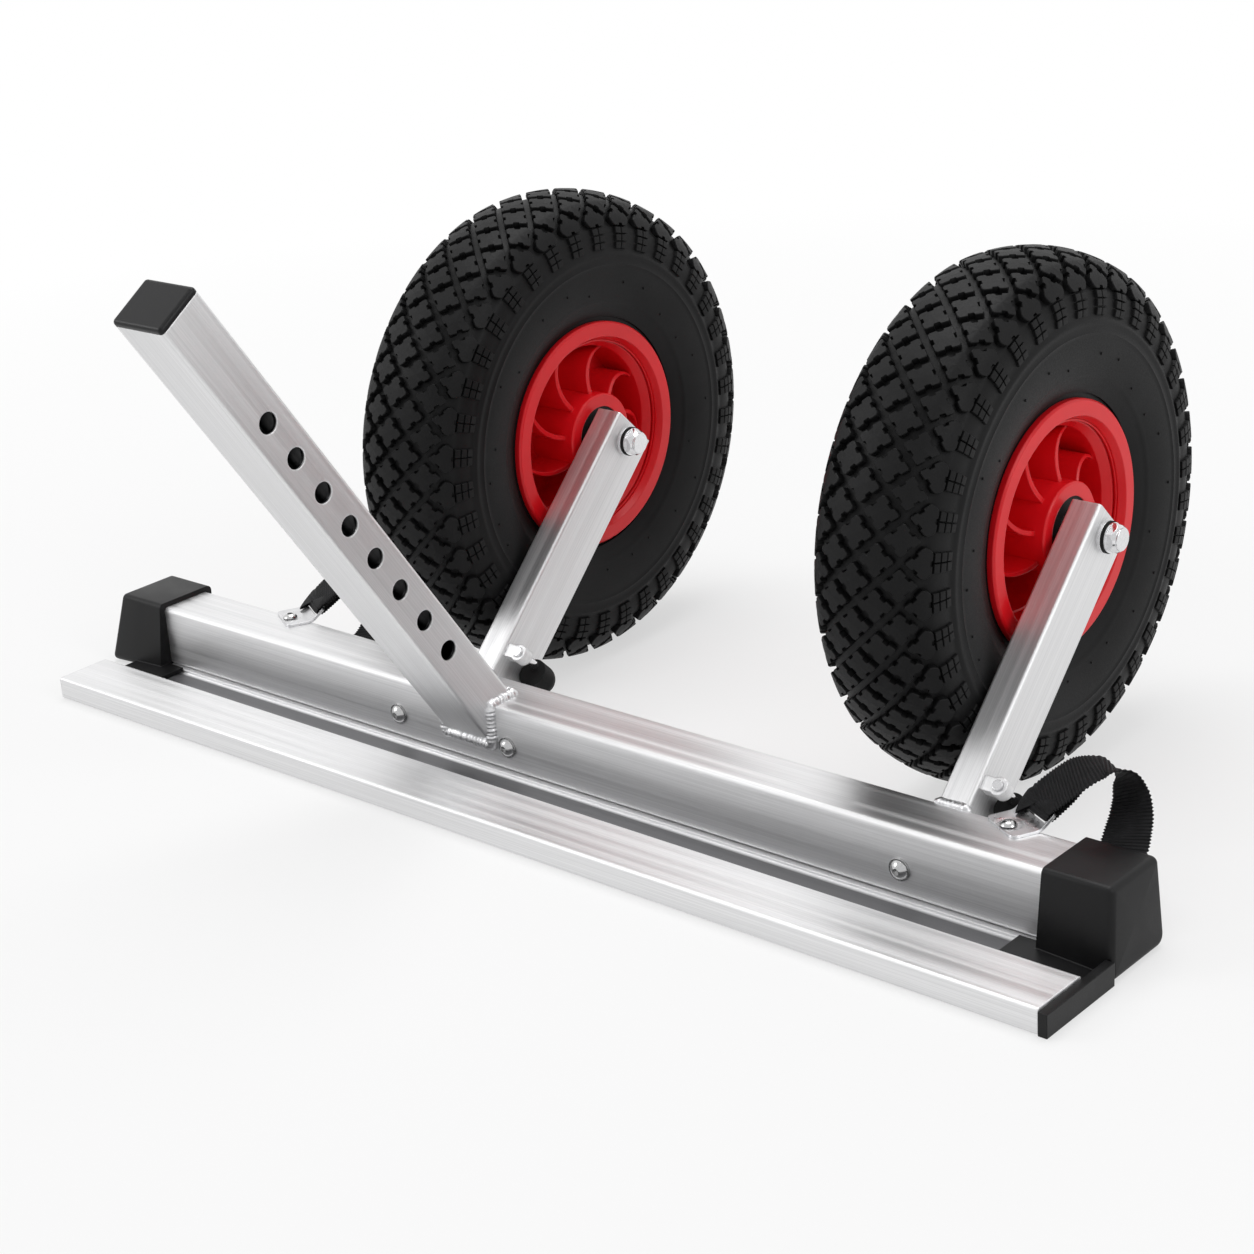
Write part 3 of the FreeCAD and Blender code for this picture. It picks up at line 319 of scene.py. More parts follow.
def make_finishes():
    """All materials by name. Stretch values are marks per metre along X, Y and Z."""
    along_x = (9.0, 1900.0, 1900.0)
    along_z = (1900.0, 1900.0, 9.0)
    bright = (0.80, 0.80, 0.805)
    # Painted shade colour for the inside of the drawbar's bore.
    bore_shade = (0.06, 0.06, 0.062)
    bar = brushed("bar_aluminium", bright, along_x)
    # Painted shade: the groove between the bar's back and the tube is darkened in the base colour, in place
    # of the shade and dark reflections that fall there.
    groove = ((None, None), (BAR_BACK - 0.5, TUBE_FRONT - 3.5), (None, BAR_HEIGHT - 3.5))
    bar.paint_shade(bar.inside(groove, 2.0), (0.16, 0.16, 0.165))
    drawbar = brushed("drawbar_aluminium", bright, along_z, -DRAWBAR_LEAN)
    # Painted shade: the drawbar's bore is darkened inside in the base colour, where shade falls.
    pivot = (DRAWBAR_RIGHT - DRAWBAR_WIDTH / 2, TUBE_FRONT + DRAWBAR_SEAT, TUBE_TOP)
    reach = DRAWBAR_WIDTH / 2 - 0.7
    bore = ((-reach, reach), (0.7 - DRAWBAR_DEPTH, -0.7), (None, None))
    drawbar.paint_shade(drawbar.inside(bore, 0.5, -DRAWBAR_LEAN, pivot), bore_shade)
    return {
        "bar": bar.material,
        "tube": brushed("tube_aluminium", (0.79, 0.79, 0.795), along_x).material,
        "drawbar": drawbar.material,
        "arm": brushed("arm_aluminium", bright, along_z, ARM_LEAN).material,
        "block": brushed("block_aluminium", (0.70, 0.71, 0.72), along_x).material,
        "weld": weld_finish(),
        "chrome": plain_metal("bright_steel", (0.80, 0.80, 0.81), 0.13),
        "screw": plain_metal("stainless_steel", (0.62, 0.62, 0.62), 0.2),
        "washer": plain_metal("washer_steel", (0.42, 0.42, 0.42), 0.24),
        "plate": plain_metal("plate_steel", (0.74, 0.74, 0.75), 0.3, grain=300.0),
        "bearing": plain_metal("bearing_steel", (0.62, 0.62, 0.64), 0.22),
        "brass": plain_metal("valve_brass", (0.72, 0.55, 0.26), 0.25),
        "cap": grained_plastic("cap_plastic", (0.004, 0.004, 0.0043), (0.007, 0.007, 0.0075),
                               (0.36, 0.48)),
        "plug": grained_plastic("plug_plastic", (0.005, 0.005, 0.0055), (0.009, 0.009, 0.010),
                                (0.3, 0.42)),
        "rubber": rubber("black_rubber", (0.005, 0.005, 0.005), (0.011, 0.011, 0.011), (0.5, 0.65)),
        "tyre": rubber("tyre_rubber", (0.0045, 0.0045, 0.0047), (0.009, 0.009, 0.0093),
                       (0.42, 0.58)),
        "red": red_plastic(),
        "webbing": webbing_finish(),
    }


NODE_FINISH = {
    "base_profile": "bar", "cross_tube": "tube", "drawbar_tube": "drawbar", "drawbar_plug": "plug",
    "fixing_blocks": "block", "face_screws": "screw", "face_washers": "washer", "base_screws": "screw",
    "end_cap": "cap", "wheel_arm": "arm", "strap_clamp": "plate", "strap_screws": "screw",
    "buffer_lug": "arm", "buffer_stud": "chrome", "buffer": "rubber", "axle_bolt": "chrome",
    "axle_washers": "chrome", "axle_ring": "rubber", "axle_nut": "chrome", "axle_sleeve": "chrome",
    "bearing_outer": "bearing", "bearing_inner": "bearing", "bearing_balls": "bearing",
    "bearing_spacer": "bearing", "inner_tube": "rubber", "valve": "brass", "hub_seals": "rubber",
    "rim": "red", "tyre": "tyre", "strap": "webbing", "strap_plate": "plate",
    "drawbar_weld": "weld", "arm_weld": "weld",
}


def dress_nodes(frame, finishes):
    """Gives every CAD node its material."""
    for name, node in frame["nodes"].items():
        base = name
        for side in SIDES:
            base = base.removesuffix("_" + side)
        for slot in node.material_slots:
            slot.material = finishes[NODE_FINISH[base]]


# Mesh helpers

def add_piece(name, points, faces, material, body, nodes=(), sharp=35.0):
    """A mesh object from points in millimetres that rides on a body and may replace nodes."""
    mesh = bpy.data.meshes.new(name)
    mesh.from_pydata([tuple(float(v) * MM for v in p) for p in points], [], faces)
    mesh.validate()
    mesh.update()
    mesh.shade_smooth()
    mesh.set_sharp_from_angle(angle=math.radians(sharp))
    mesh.materials.append(material)
    piece = bpy.data.objects.new(name, mesh)
    bpy.context.scene.collection.objects.link(piece)
    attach(piece, body)
    if nodes:
        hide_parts(*nodes)
    return piece


def add_bevel(piece, width, segments, angle):
    """Rounds the edges that are sharper than an angle in degrees."""
    bevel = piece.modifiers.new("bevel", "BEVEL")
    bevel.width = width * MM
    bevel.segments = segments
    bevel.limit_method = "ANGLE"
    bevel.angle_limit = math.radians(angle)


def grid_faces(rows, columns, wrap_rows=False, wrap_columns=False, start=0):
    """Quads of a grid of points stored row by row."""
    faces = []
    for i in range(rows if wrap_rows else rows - 1):
        for j in range(columns if wrap_columns else columns - 1):
            a = start + i * columns + j
            b = start + i * columns + (j + 1) % columns
            c = start + (i + 1) % rows * columns + (j + 1) % columns
            d = start + (i + 1) % rows * columns + j
            faces.append((a, b, c, d))
    return faces


def smooth_line(points, step):
    """Even samples of a curve through points, as an array. Extra columns are carried along."""
    points = np.array(points, float)
    padded = np.vstack([2 * points[0] - points[1], points, 2 * points[-1] - points[-2]])
    dense = []
    for i in range(1, len(padded) - 2):
        p0, p1, p2, p3 = padded[i - 1:i + 3]
        t = np.linspace(0, 1, 24, endpoint=False)[:, None]
        dense.append(0.5 * (2 * p1 + (p2 - p0) * t + (2 * p0 - 5 * p1 + 4 * p2 - p3) * t ** 2
                            + (3 * p1 - p0 - 3 * p2 + p3) * t ** 3))
    dense = np.vstack(dense + [padded[-2][None]])
    run = np.concatenate([[0], np.cumsum(np.linalg.norm(np.diff(dense[:, :3], axis=0), axis=1))])
    count = max(int(run[-1] / step), 2) + 1
    even = np.linspace(0, run[-1], count)
    return np.stack([np.interp(even, run, dense[:, k]) for k in range(dense.shape[1])], 1), even


# Tyre

TREAD_COUNT = 38
TREAD_PITCH = 2 * math.pi * TYRE_RADIUS / TREAD_COUNT
COLUMN_STEP = 11.5
GROOVE_DEPTH = 3.4
GROOVE_HALF = 1.75
SLICES_PER_BLOCK = 8
OUTSIDE_POINTS = 151
NUB_COUNT = 24
NUB_SIDES = 6
NUB_SEAT = -0.6
NUB_DISTANCES = (64.0, 69.0, 75.0)
NUB_RINGS = ((0.75, 0.0), (0.6, 0.7), (0.0, 0.95))
SHOULDER_IN = 11.5
SHOULDER_DROP = 4.5
SHOULDER_BULGE_IN = 3.3
SHOULDER_BULGE_DROP = 13.5
CROWN_SAG = 1.1
SIDE_HEIGHT = 100.0
BELLY_IN = 0.9
BELLY_HEIGHT = 81.0
KNEE_IN = 6.0
KNEE_HEIGHT = 64.2
SECTION_STEPS = 30
BEAD_HALF = 25.9
BEAD_WIDTH = 6.0
BEAD_FOOT = 51.1
INSIDE_CROWN = (0.0, 121.0)
INSIDE_SIDE = (
    (BEAD_HALF, BEAD_FOOT), (BEAD_HALF - BEAD_WIDTH, BEAD_FOOT), (BEAD_HALF - 3.0, 82.0), (24.0, 112.0),
)

# Distance from the crown and lift: the grooves' floor, the shoulder, the rings on the side, the bead
CARCASS_RELIEF = (
    (0.0, -GROOVE_DEPTH), (35.0, -GROOVE_DEPTH), (39.5, -1.9), (50.5, -1.4), (52.0, -0.9),
    (53.0, -0.1), (54.6, 0.0), (55.2, -0.45), (58.0, -0.5), (58.6, -0.1), (59.4, -0.1),
    (60.2, -0.5), (79.0, -0.3), (80.0, 0.0), (81.0, -0.6), (82.5, -0.5), (90.0, -0.6),
)

# Blocks: distances from the crown and along the tread, their relief and their edges
BLOCK_BASE = -GROOVE_DEPTH - 0.4
BLOCK_BEVEL = 0.35
BLOCK_FLARE = 0.35
CORNER_CUT = 0.9
NOTCHED_EDGE = 8.0
NOTCH_STEPS = ((0.2, 0.0), (0.35, 0.0), (0.38, 1.25), (0.62, 1.25), (0.65, 0.0), (0.8, 0.0))
SHOULDER_BLOCK = (
    (25.0, 0.0), (33.6, -8.2), (36.0, -7.6), (38.4, -5.6), (38.4, 5.6), (36.0, 7.6), (33.6, 8.2),
)
RUNG_STARTS = (39.3, 43.4, 47.5)
RUNG_WIDTH = 3.4
RUNG_NEAR = 0.35
RUNG_FAR = 5.3
RUNG_BASE = -2.4
RUNG_TOP = -0.1
RUNG_BEVEL = 0.25


def arc_points(start, middle, end, count):
    """Points on the circle through three."""
    (ax, ay), (bx, by), (cx, cy) = start, middle, end
    d = 2 * (ax * (by - cy) + bx * (cy - ay) + cx * (ay - by))
    a, b, c = (x * x + y * y for x, y in (start, middle, end))
    ux = (a * (by - cy) + b * (cy - ay) + c * (ay - by)) / d
    uy = (a * (cx - bx) + b * (ax - cx) + c * (bx - ax)) / d
    radius = math.hypot(ax - ux, ay - uy)
    first = math.atan2(ay - uy, ax - ux)
    turn = (math.atan2(cy - uy, cx - ux) - first + math.pi) % (2 * math.pi) - math.pi
    angles = [first + turn * i / count for i in range(count + 1)]
    return [(ux + radius * math.cos(angle), uy + radius * math.sin(angle)) for angle in angles]


class TyreSection:
    """Half of the tyre's outside, by distance from the crown, as the CAD draws it."""

    def __init__(self):
        side, crown = TYRE_SIDE, TYRE_RADIUS
        shoulder = (side - SHOULDER_IN, crown - SHOULDER_DROP)
        widest = (side, SIDE_HEIGHT)
        arcs = (((0.0, crown), (shoulder[0] / 2, crown - CROWN_SAG), shoulder),
                (shoulder, (side - SHOULDER_BULGE_IN, crown - SHOULDER_BULGE_DROP), widest),
                (widest, (side - BELLY_IN, BELLY_HEIGHT), (side - KNEE_IN, KNEE_HEIGHT)))
        line = [arcs[0][0]]
        for arc in arcs:
            line += arc_points(*arc, SECTION_STEPS)[1:]
        self.line = np.array(line)
        self.run = np.concatenate([[0], np.cumsum(np.linalg.norm(np.diff(self.line, axis=0), axis=1))])
        slope = np.gradient(self.line, self.run, axis=0)
        slope = slope / np.linalg.norm(slope, axis=1)[:, None]
        self.normal = np.stack([-slope[:, 1], slope[:, 0]], 1)
        self.length = self.run[-1]

    def at(self, distance, lift=0.0):
        """(x, radius) at a signed distance from the crown, lifted along the surface's normal."""
        s = abs(distance)
        x, r = (np.interp(s, self.run, self.line[:, k]) for k in (0, 1))
        nx, nr = (np.interp(s, self.run, self.normal[:, k]) for k in (0, 1))
        sign = 1.0 if distance >= 0 else -1.0
        return sign * (x + nx * lift), r + nr * lift


def carcass_lift(s):
    """Relief of the tyre's body under the blocks, and the rings moulded in its sides."""
    distances, lifts = zip(*CARCASS_RELIEF)
    return float(np.interp(abs(s), distances, lifts))


def tyre_point(section, distance, around, lift):
    """A point in the wheel's frame: around is measured along the tread."""
    x, r = section.at(distance, lift)
    angle = around / TYRE_RADIUS
    return (x, r * math.sin(angle), r * math.cos(angle))


def block(section, outline, base, top, bevel):
    """A raised block: rings of points from its foot to the middle of its face, and its faces."""
    outline = np.array(outline, float)
    centre = outline.mean(axis=0)
    size = np.abs(outline - centre).max()
    rings = [(1.0 + BLOCK_FLARE / size, base), (1.0, top - bevel), (1.0 - bevel / size, top), (0.5, top)]
    points = []
    for scale, lift in rings:
        for s, c in centre + (outline - centre) * scale:
            points.append(tyre_point(section, s, c, lift))
    points.append(tyre_point(section, centre[0], centre[1], top))
    count = len(outline)
    faces = grid_faces(len(rings), count, wrap_columns=True)
    last = (len(rings) - 1) * count
    faces += [(last + i, last + (i + 1) % count, last + count) for i in range(count)]
    return points, faces


def notched(corners):
    """A block's outline with cut corners and a small step in the middle of each long edge."""
    corners = [np.array(c, float) for c in corners]
    centre = sum(corners) / len(corners)
    outline = []
    for start, end in zip(corners, corners[1:] + corners[:1]):
        run = end - start
        length = np.linalg.norm(run)
        inward = np.array([-run[1], run[0]]) / length
        if inward.dot(centre - start) < 0:
            inward = -inward
        cut = min(CORNER_CUT / length, 0.2)
        outline.append(start + run * cut)
        if length > NOTCHED_EDGE:
            for t, depth in NOTCH_STEPS:
                outline.append(start + run * t + inward * depth)
        outline.append(start + run * (1 - cut))
    return outline


def tread_blocks():
    """Outlines, base lift, top lift and bevel of one sector's blocks."""
    half_c = TREAD_PITCH / 2
    shrink = GROOVE_HALF * math.hypot(1 / COLUMN_STEP, 1 / half_c)
    ds, dc = COLUMN_STEP * (1 - shrink), half_c * (1 - shrink)
    made = []
    for column in (-2, -1, 0, 1, 2):
        s, c = column * COLUMN_STEP, (half_c if column % 2 else 0.0)
        diamond = [(s - ds, c), (s, c - dc), (s + ds, c), (s, c + dc)]
        made.append((notched(diamond), BLOCK_BASE, 0.0, BLOCK_BEVEL))
    for side in (-1, 1):
        house = [(side * s, half_c + a) for s, a in SHOULDER_BLOCK]
        made.append((notched(house), BLOCK_BASE, 0.0, BLOCK_BEVEL))
        for first in RUNG_STARTS:
            last = first + RUNG_WIDTH
            for row in (-1, 1):
                near, far = row * RUNG_NEAR, row * RUNG_FAR
                corners = ((first, near), (last, near), (last, far), (first, far))
                rung = [(side * s, half_c + a) for s, a in corners]
                made.append((rung, RUNG_BASE, RUNG_TOP, RUNG_BEVEL))
    return made


def tyre_mesh(section):
    """Points and faces of a whole tyre about the X axis, in millimetres."""
    slices = TREAD_COUNT * SLICES_PER_BLOCK
    outside = np.linspace(-section.length, section.length, OUTSIDE_POINTS)
    profile = [section.at(s, carcass_lift(s)) for s in outside]
    inside = [(BEAD_HALF, profile[-1][1]), *INSIDE_SIDE]
    profile = profile + inside + [INSIDE_CROWN] + [(-x, r) for x, r in reversed(inside)]
    points = []
    for i in range(slices):
        angle = 2 * math.pi * i / slices
        points += [(x, r * math.sin(angle), r * math.cos(angle)) for x, r in profile]
    faces = [f[::-1] for f in grid_faces(slices, len(profile), wrap_rows=True, wrap_columns=True)]
    points = np.array(points)
    one_points, one_faces = [], []
    for outline, base, top, bevel in tread_blocks():
        made, made_faces = block(section, outline, base, top, bevel)
        area = sum(a[0] * b[1] - b[0] * a[1] for a, b in zip(outline, list(outline[1:]) + [outline[0]]))
        if area > 0:
            made_faces = [f[::-1] for f in made_faces]
        one_faces += [tuple(v + len(one_points) for v in f) for f in made_faces]
        one_points += made
    one_points = np.array(one_points)
    for index in range(TREAD_COUNT):
        angle = 2 * math.pi * index / TREAD_COUNT
        c, s = math.cos(angle), math.sin(angle)
        turn = np.array([[1, 0, 0], [0, c, s], [0, -s, c]])
        start = len(points)
        points = np.vstack([points, one_points @ turn.T])
        faces += [tuple(v + start for v in f) for f in one_faces]
    return points, faces


def side_nubs(section):
    """Small moulded vent nubs scattered on the tyre's sides, as points and faces."""
    rng = random.Random(3)
    points, faces = [], []
    for side in (-1, 1):
        for index in range(NUB_COUNT):
            angle = 2 * math.pi * (index + rng.uniform(-0.3, 0.3)) / NUB_COUNT
            distance = side * rng.choice(NUB_DISTANCES)
            x, r = section.at(distance, NUB_SEAT)
            start = len(points)
            for radius, lift in NUB_RINGS:
                for k in range(NUB_SIDES if radius else 1):
                    turn = 2 * math.pi * k / NUB_SIDES
                    reach = r + radius * math.cos(turn)
                    swing = angle + radius * math.sin(turn) / r
                    points.append((x + side * lift, reach * math.sin(swing), reach * math.cos(swing)))
            for k in range(NUB_SIDES):
                foot, next_foot = start + k, start + (k + 1) % NUB_SIDES
                low = (foot, next_foot, next_foot + NUB_SIDES, foot + NUB_SIDES)
                top = (foot + NUB_SIDES, next_foot + NUB_SIDES, start + 2 * NUB_SIDES)
                faces += [low, top] if side < 0 else [low[::-1], top[::-1]]
    return points, faces


def make_tyres(finishes):
    """A treaded tyre on each wheel."""
    section = TyreSection()
    points, faces = tyre_mesh(section)
    nubs, nub_faces = side_nubs(section)
    faces += [tuple(v + len(points) for v in f) for f in nub_faces]
    points = np.vstack([points, nubs])
    for side in SIDES:
        low, high = (np.array(v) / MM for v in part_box("tyre_" + side))
        centre = (low + high) / 2
        add_piece("tread_" + side, points + centre, faces, finishes["tyre"], "wheel_" + side,
                  ["tyre_" + side], 28.0)


# Straps

PLATE_HALF = 12.0
PLATE_CORNER = 2.5
PLATE_OUTER = PLATE_BEND_RADIUS + PLATE_THICKNESS
PLATE_RUN = PLATE_FLAT + PLATE_OUTER * PLATE_BEND
PLATE_END = PLATE_RUN + PLATE_RAMP
SLOT_START = PLATE_RUN + 1.4
SLOT_END = PLATE_RUN + 4.6
SLOT_HALF = 10.4
SEAT_DEPTH = 0.45
SEAT_RADII = (5.0, 6.0, 6.6, 20.0)
SEAT_SHARES = (1.0, 0.9, 0.0, 0.0)
RIB_PITCH = 1.6
RIB_SWELL = 0.42
RIB_LIFT = 0.26
WEBBING_HALF = 11.3
WEBBING_LIFT = 0.75
WEBBING_EDGE = 0.18
WEBBING_STEP = 0.21
STRAP_BACK_GAP = 1.2
STRAP_TAIL = (9.0, 2.0, -8.0)

# The folded end: run past the plate's bend, and lift above its underside
STRAP_FOLD = (
    (27.0, -1.6), (18.0, -2.4), (9.0, -1.6), (5.0, -1.0), (2.9, 0.4), (3.3, 2.2), (5.6, 2.75), (9.0, 2.8),
)

# The loop: X from the screw, Y, Z, and how far the band has turned towards the clamp
STRAP_LOOP = (
    (22.0, 66.0, 59.5, 0.15), (30.0, 73.5, 62.0, 0.25), (37.0, 77.0, 58.5, 0.3), (41.5, 76.0, 51.0, 0.4),
    (44.5, 71.5, 43.5, 0.55), (47.0, 64.0, 37.0, 0.8), (49.0, 57.0, 32.5, 1.0),
)


def strap_axes(side):
    """Screw point on the tube, and the plate's along, across and up directions."""
    screw = np.array([STRAP_SCREW_X[side], TUBE_BACK - STRAP_EDGE, TUBE_TOP])
    along = np.array([math.sin(STRAP_TURN), math.cos(STRAP_TURN), 0.0])
    across = np.array([math.cos(STRAP_TURN), -math.sin(STRAP_TURN), 0.0])
    return screw, along, across, np.array([0.0, 0.0, 1.0])


def plate_point(side, run, wide, lift):
    """A point on the bent plate: run along its developed length, lift above its underside."""
    screw, along, across, up = strap_axes(side)
    bend_run = PLATE_OUTER * PLATE_BEND
    past = run - PLATE_FLAT
    if past <= 0:
        s, h, angle = run, 0.0, 0.0
    elif past < bend_run:
        angle = past / PLATE_OUTER
        s, h = PLATE_FLAT + PLATE_OUTER * math.sin(angle), PLATE_OUTER * (1 - math.cos(angle))
    else:
        angle = PLATE_BEND
        s = PLATE_FLAT + PLATE_OUTER * math.sin(angle) + (past - bend_run) * math.cos(angle)
        h = PLATE_OUTER * (1 - math.cos(angle)) + (past - bend_run) * math.sin(angle)
    s -= math.sin(angle) * lift
    h += math.cos(angle) * lift
    return screw + along * s + across * wide + up * h


def strap_line(side):
    """Centre line of the webbing with its width direction, from its folded end to the clamp."""
    across = strap_axes(side)[2]
    tail = np.array([1.0, 0.0, 0.0])
    line = [np.concatenate([plate_point(side, PLATE_RUN + past, 0.0, lift), across])
            for past, lift in STRAP_FOLD]
    for x, y, z, share in STRAP_LOOP:
        place = [STRAP_SCREW_X[side] + x, y, z]
        line.append(np.concatenate([place, across * (1 - share) + tail * share]))
    back = TUBE_BACK + (CAP_WALL if side == "right" else 0.0) + STRAP_BACK_GAP
    for rise in STRAP_TAIL:
        place = [STRAP_SCREW_X[side] + CLAMP_X, back, CLAMP_Z + rise]
        line.append(np.concatenate([place, tail]))
    return line


def make_strap(side, material):
    """Ribbed webbing band with scalloped edges."""
    rows, run = smooth_line(strap_line(side), WEBBING_STEP)
    columns = np.linspace(-1, 1, 19)
    points = []
    centre = rows[:, :3]
    tangent = np.gradient(centre, axis=0)
    tangent /= np.linalg.norm(tangent, axis=1)[:, None]
    width = rows[:, 3:6]
    width = width - tangent * (width * tangent).sum(1)[:, None]
    width /= np.linalg.norm(width, axis=1)[:, None]
    normal = np.cross(width, tangent)
    for i in range(len(rows)):
        rib = math.sin(2 * math.pi * run[i] / RIB_PITCH)
        reach = WEBBING_HALF + RIB_SWELL * rib
        ring = []
        for sign in (1, -1):
            for column in columns[::sign]:
                edge = (1 - abs(column) ** 6) ** 0.5
                lift = sign * (WEBBING_EDGE + (WEBBING_LIFT - WEBBING_EDGE) * edge + RIB_LIFT * rib * edge)
                ring.append(centre[i] + width[i] * column * reach + normal[i] * lift)
        points += ring
    count = 2 * len(columns)
    faces = grid_faces(len(rows), count, wrap_columns=True)
    faces.append(tuple(range(count)))
    faces.append(tuple(range(len(points) - 1, len(points) - 1 - count, -1)))
    add_piece("webbing_" + side, points, faces, material, "frame", ["strap_" + side], 60.0)


def make_plate(side, material):
    """Bent plate with a dished screw seat and a slot for the webbing."""
    runs = sorted({round(v, 3) for v in (*np.linspace(-PLATE_FRONT, SLOT_START, 28), SLOT_START,
                                         (SLOT_START + SLOT_END) / 2, *np.linspace(SLOT_END, PLATE_END, 6))})
    wides = sorted({round(v, 3) for v in (*np.linspace(-PLATE_HALF, PLATE_HALF, 33), -SLOT_HALF, SLOT_HALF)})
    points, index = [], {}

    def put(i, j, top):
        key = (i, j, top)
        if key not in index:
            run, wide = runs[i], wides[j]
            for limit, sign in ((-PLATE_FRONT, 1), (PLATE_END, -1)):
                depth = PLATE_CORNER - sign * (run - limit)
                if depth > 0:
                    room = PLATE_CORNER - math.sqrt(max(PLATE_CORNER ** 2 - depth ** 2, 0.0))
                    wide *= (PLATE_HALF - room) / PLATE_HALF
            lift = PLATE_THICKNESS if top else 0.0
            if top:
                distance = math.hypot(run, wide)
                lift -= SEAT_DEPTH * float(np.interp(distance, SEAT_RADII, SEAT_SHARES))
            index[key] = len(points)
            points.append(plate_point(side, run, wide, lift))
        return index[key]

    def solid(i, j):
        if not (0 <= i < len(runs) - 1 and 0 <= j < len(wides) - 1):
            return False
        run, wide = (runs[i] + runs[i + 1]) / 2, (wides[j] + wides[j + 1]) / 2
        return not (SLOT_START < run < SLOT_END and abs(wide) < SLOT_HALF)

    faces = []
    for i in range(len(runs) - 1):
        for j in range(len(wides) - 1):
            if not solid(i, j):
                continue
            corners = ((i, j), (i, j + 1), (i + 1, j + 1), (i + 1, j))
            neighbours = ((i - 1, j), (i, j + 1), (i + 1, j), (i, j - 1))
            faces.append(tuple(put(*corner, True) for corner in corners))
            faces.append(tuple(put(*corners[k], False) for k in (3, 2, 1, 0)))
            for a, b, neighbour in zip(corners, corners[1:] + corners[:1], neighbours):
                if not solid(*neighbour):
                    faces.append((put(*b, True), put(*a, True), put(*a, False), put(*b, False)))
    piece = add_piece("slotted_plate_" + side, points, faces, material, "frame", ["strap_plate_" + side],
                      50.0)
    add_bevel(piece, 0.25, 2, 50)


# End caps

CAP_FIT = 0.1
CAP_FLARE = 5.5
CAP_FLARE_GROWTH = 3.5
CAP_BACK_DRAFT = 3.5
CAP_BACK_ROUND = 6.0
CAP_LEAST_ROUND = 0.3
CAP_MOUTH_CHAMFER = 0.6
CAP_POCKET_ROUND = 2.6
CAP_ROUND_STEPS = 6
CAP_FOOT_FLOOR = 1.6
CAP_FOOT_SINK = 1.0
CAP_TAIL_FRONT = 4.5
CAP_TAIL_TOP = 11.0
CAP_JOINT_INSIDE = 4.0
CAP_JOINT_OUTSIDE = 2.0


def rounded_outline(corners, radii, steps=6):
    """Points round a convex outline in the plane with its corners rounded."""
    corners = [np.array(c, float) for c in corners]
    points = []
    for index, corner in enumerate(corners):
        before = corners[index - 1] - corner
        after = corners[(index + 1) % len(corners)] - corner
        before /= np.linalg.norm(before)
        after /= np.linalg.norm(after)
        half = math.acos(np.clip(before.dot(after), -1, 1)) / 2
        radius = radii[index]
        middle = (before + after) / np.linalg.norm(before + after)
        centre = corner + middle * radius / math.sin(half)
        start = corner + before * radius / math.tan(half) - centre
        end = corner + after * radius / math.tan(half) - centre
        first = math.atan2(start[1], start[0])
        turn = (math.atan2(end[1], end[0]) - first + math.pi) % (2 * math.pi) - math.pi
        for k in range(steps + 1):
            angle = first + turn * k / steps
            points.append(centre + radius * np.array([math.cos(angle), math.sin(angle)]))
    return np.array(points)


def cap_section(share, inset):
    """The cap's outline in Y and Z at a share of its length, drawn in by an inset."""
    flare = CAP_FLARE + CAP_FLARE_GROWTH * share
    front, back = TUBE_FRONT - CAP_WALL, TUBE_BACK + CAP_WALL
    top, low = TUBE_TOP + CAP_WALL, CAP_FLOOR
    corners = [(front - flare + inset, low + inset), (back - CAP_BACK_DRAFT - inset, low + inset),
               (back - inset, top - inset), (front + inset, top - inset)]
    radius = max(CAP_ROUND - inset, CAP_LEAST_ROUND)
    back_radius = max(CAP_BACK_ROUND - inset, CAP_LEAST_ROUND)
    return rounded_outline(corners, (radius, back_radius, radius, radius))


def cap_outer(end, z):
    """Where the cap's drafted outer face lies at a height."""
    return end + CAP_DRAFT * (1 - z / (TUBE_TOP + CAP_WALL))


def box_mesh(low, high):
    """Points and faces of a block between two corners."""
    points = [(x, y, z) for x in (low[0], high[0]) for y in (low[1], high[1]) for z in (low[2], high[2])]
    faces = [(0, 1, 3, 2), (4, 6, 7, 5), (0, 4, 5, 1), (2, 3, 7, 6), (0, 2, 6, 4), (1, 5, 7, 3)]
    return points, faces


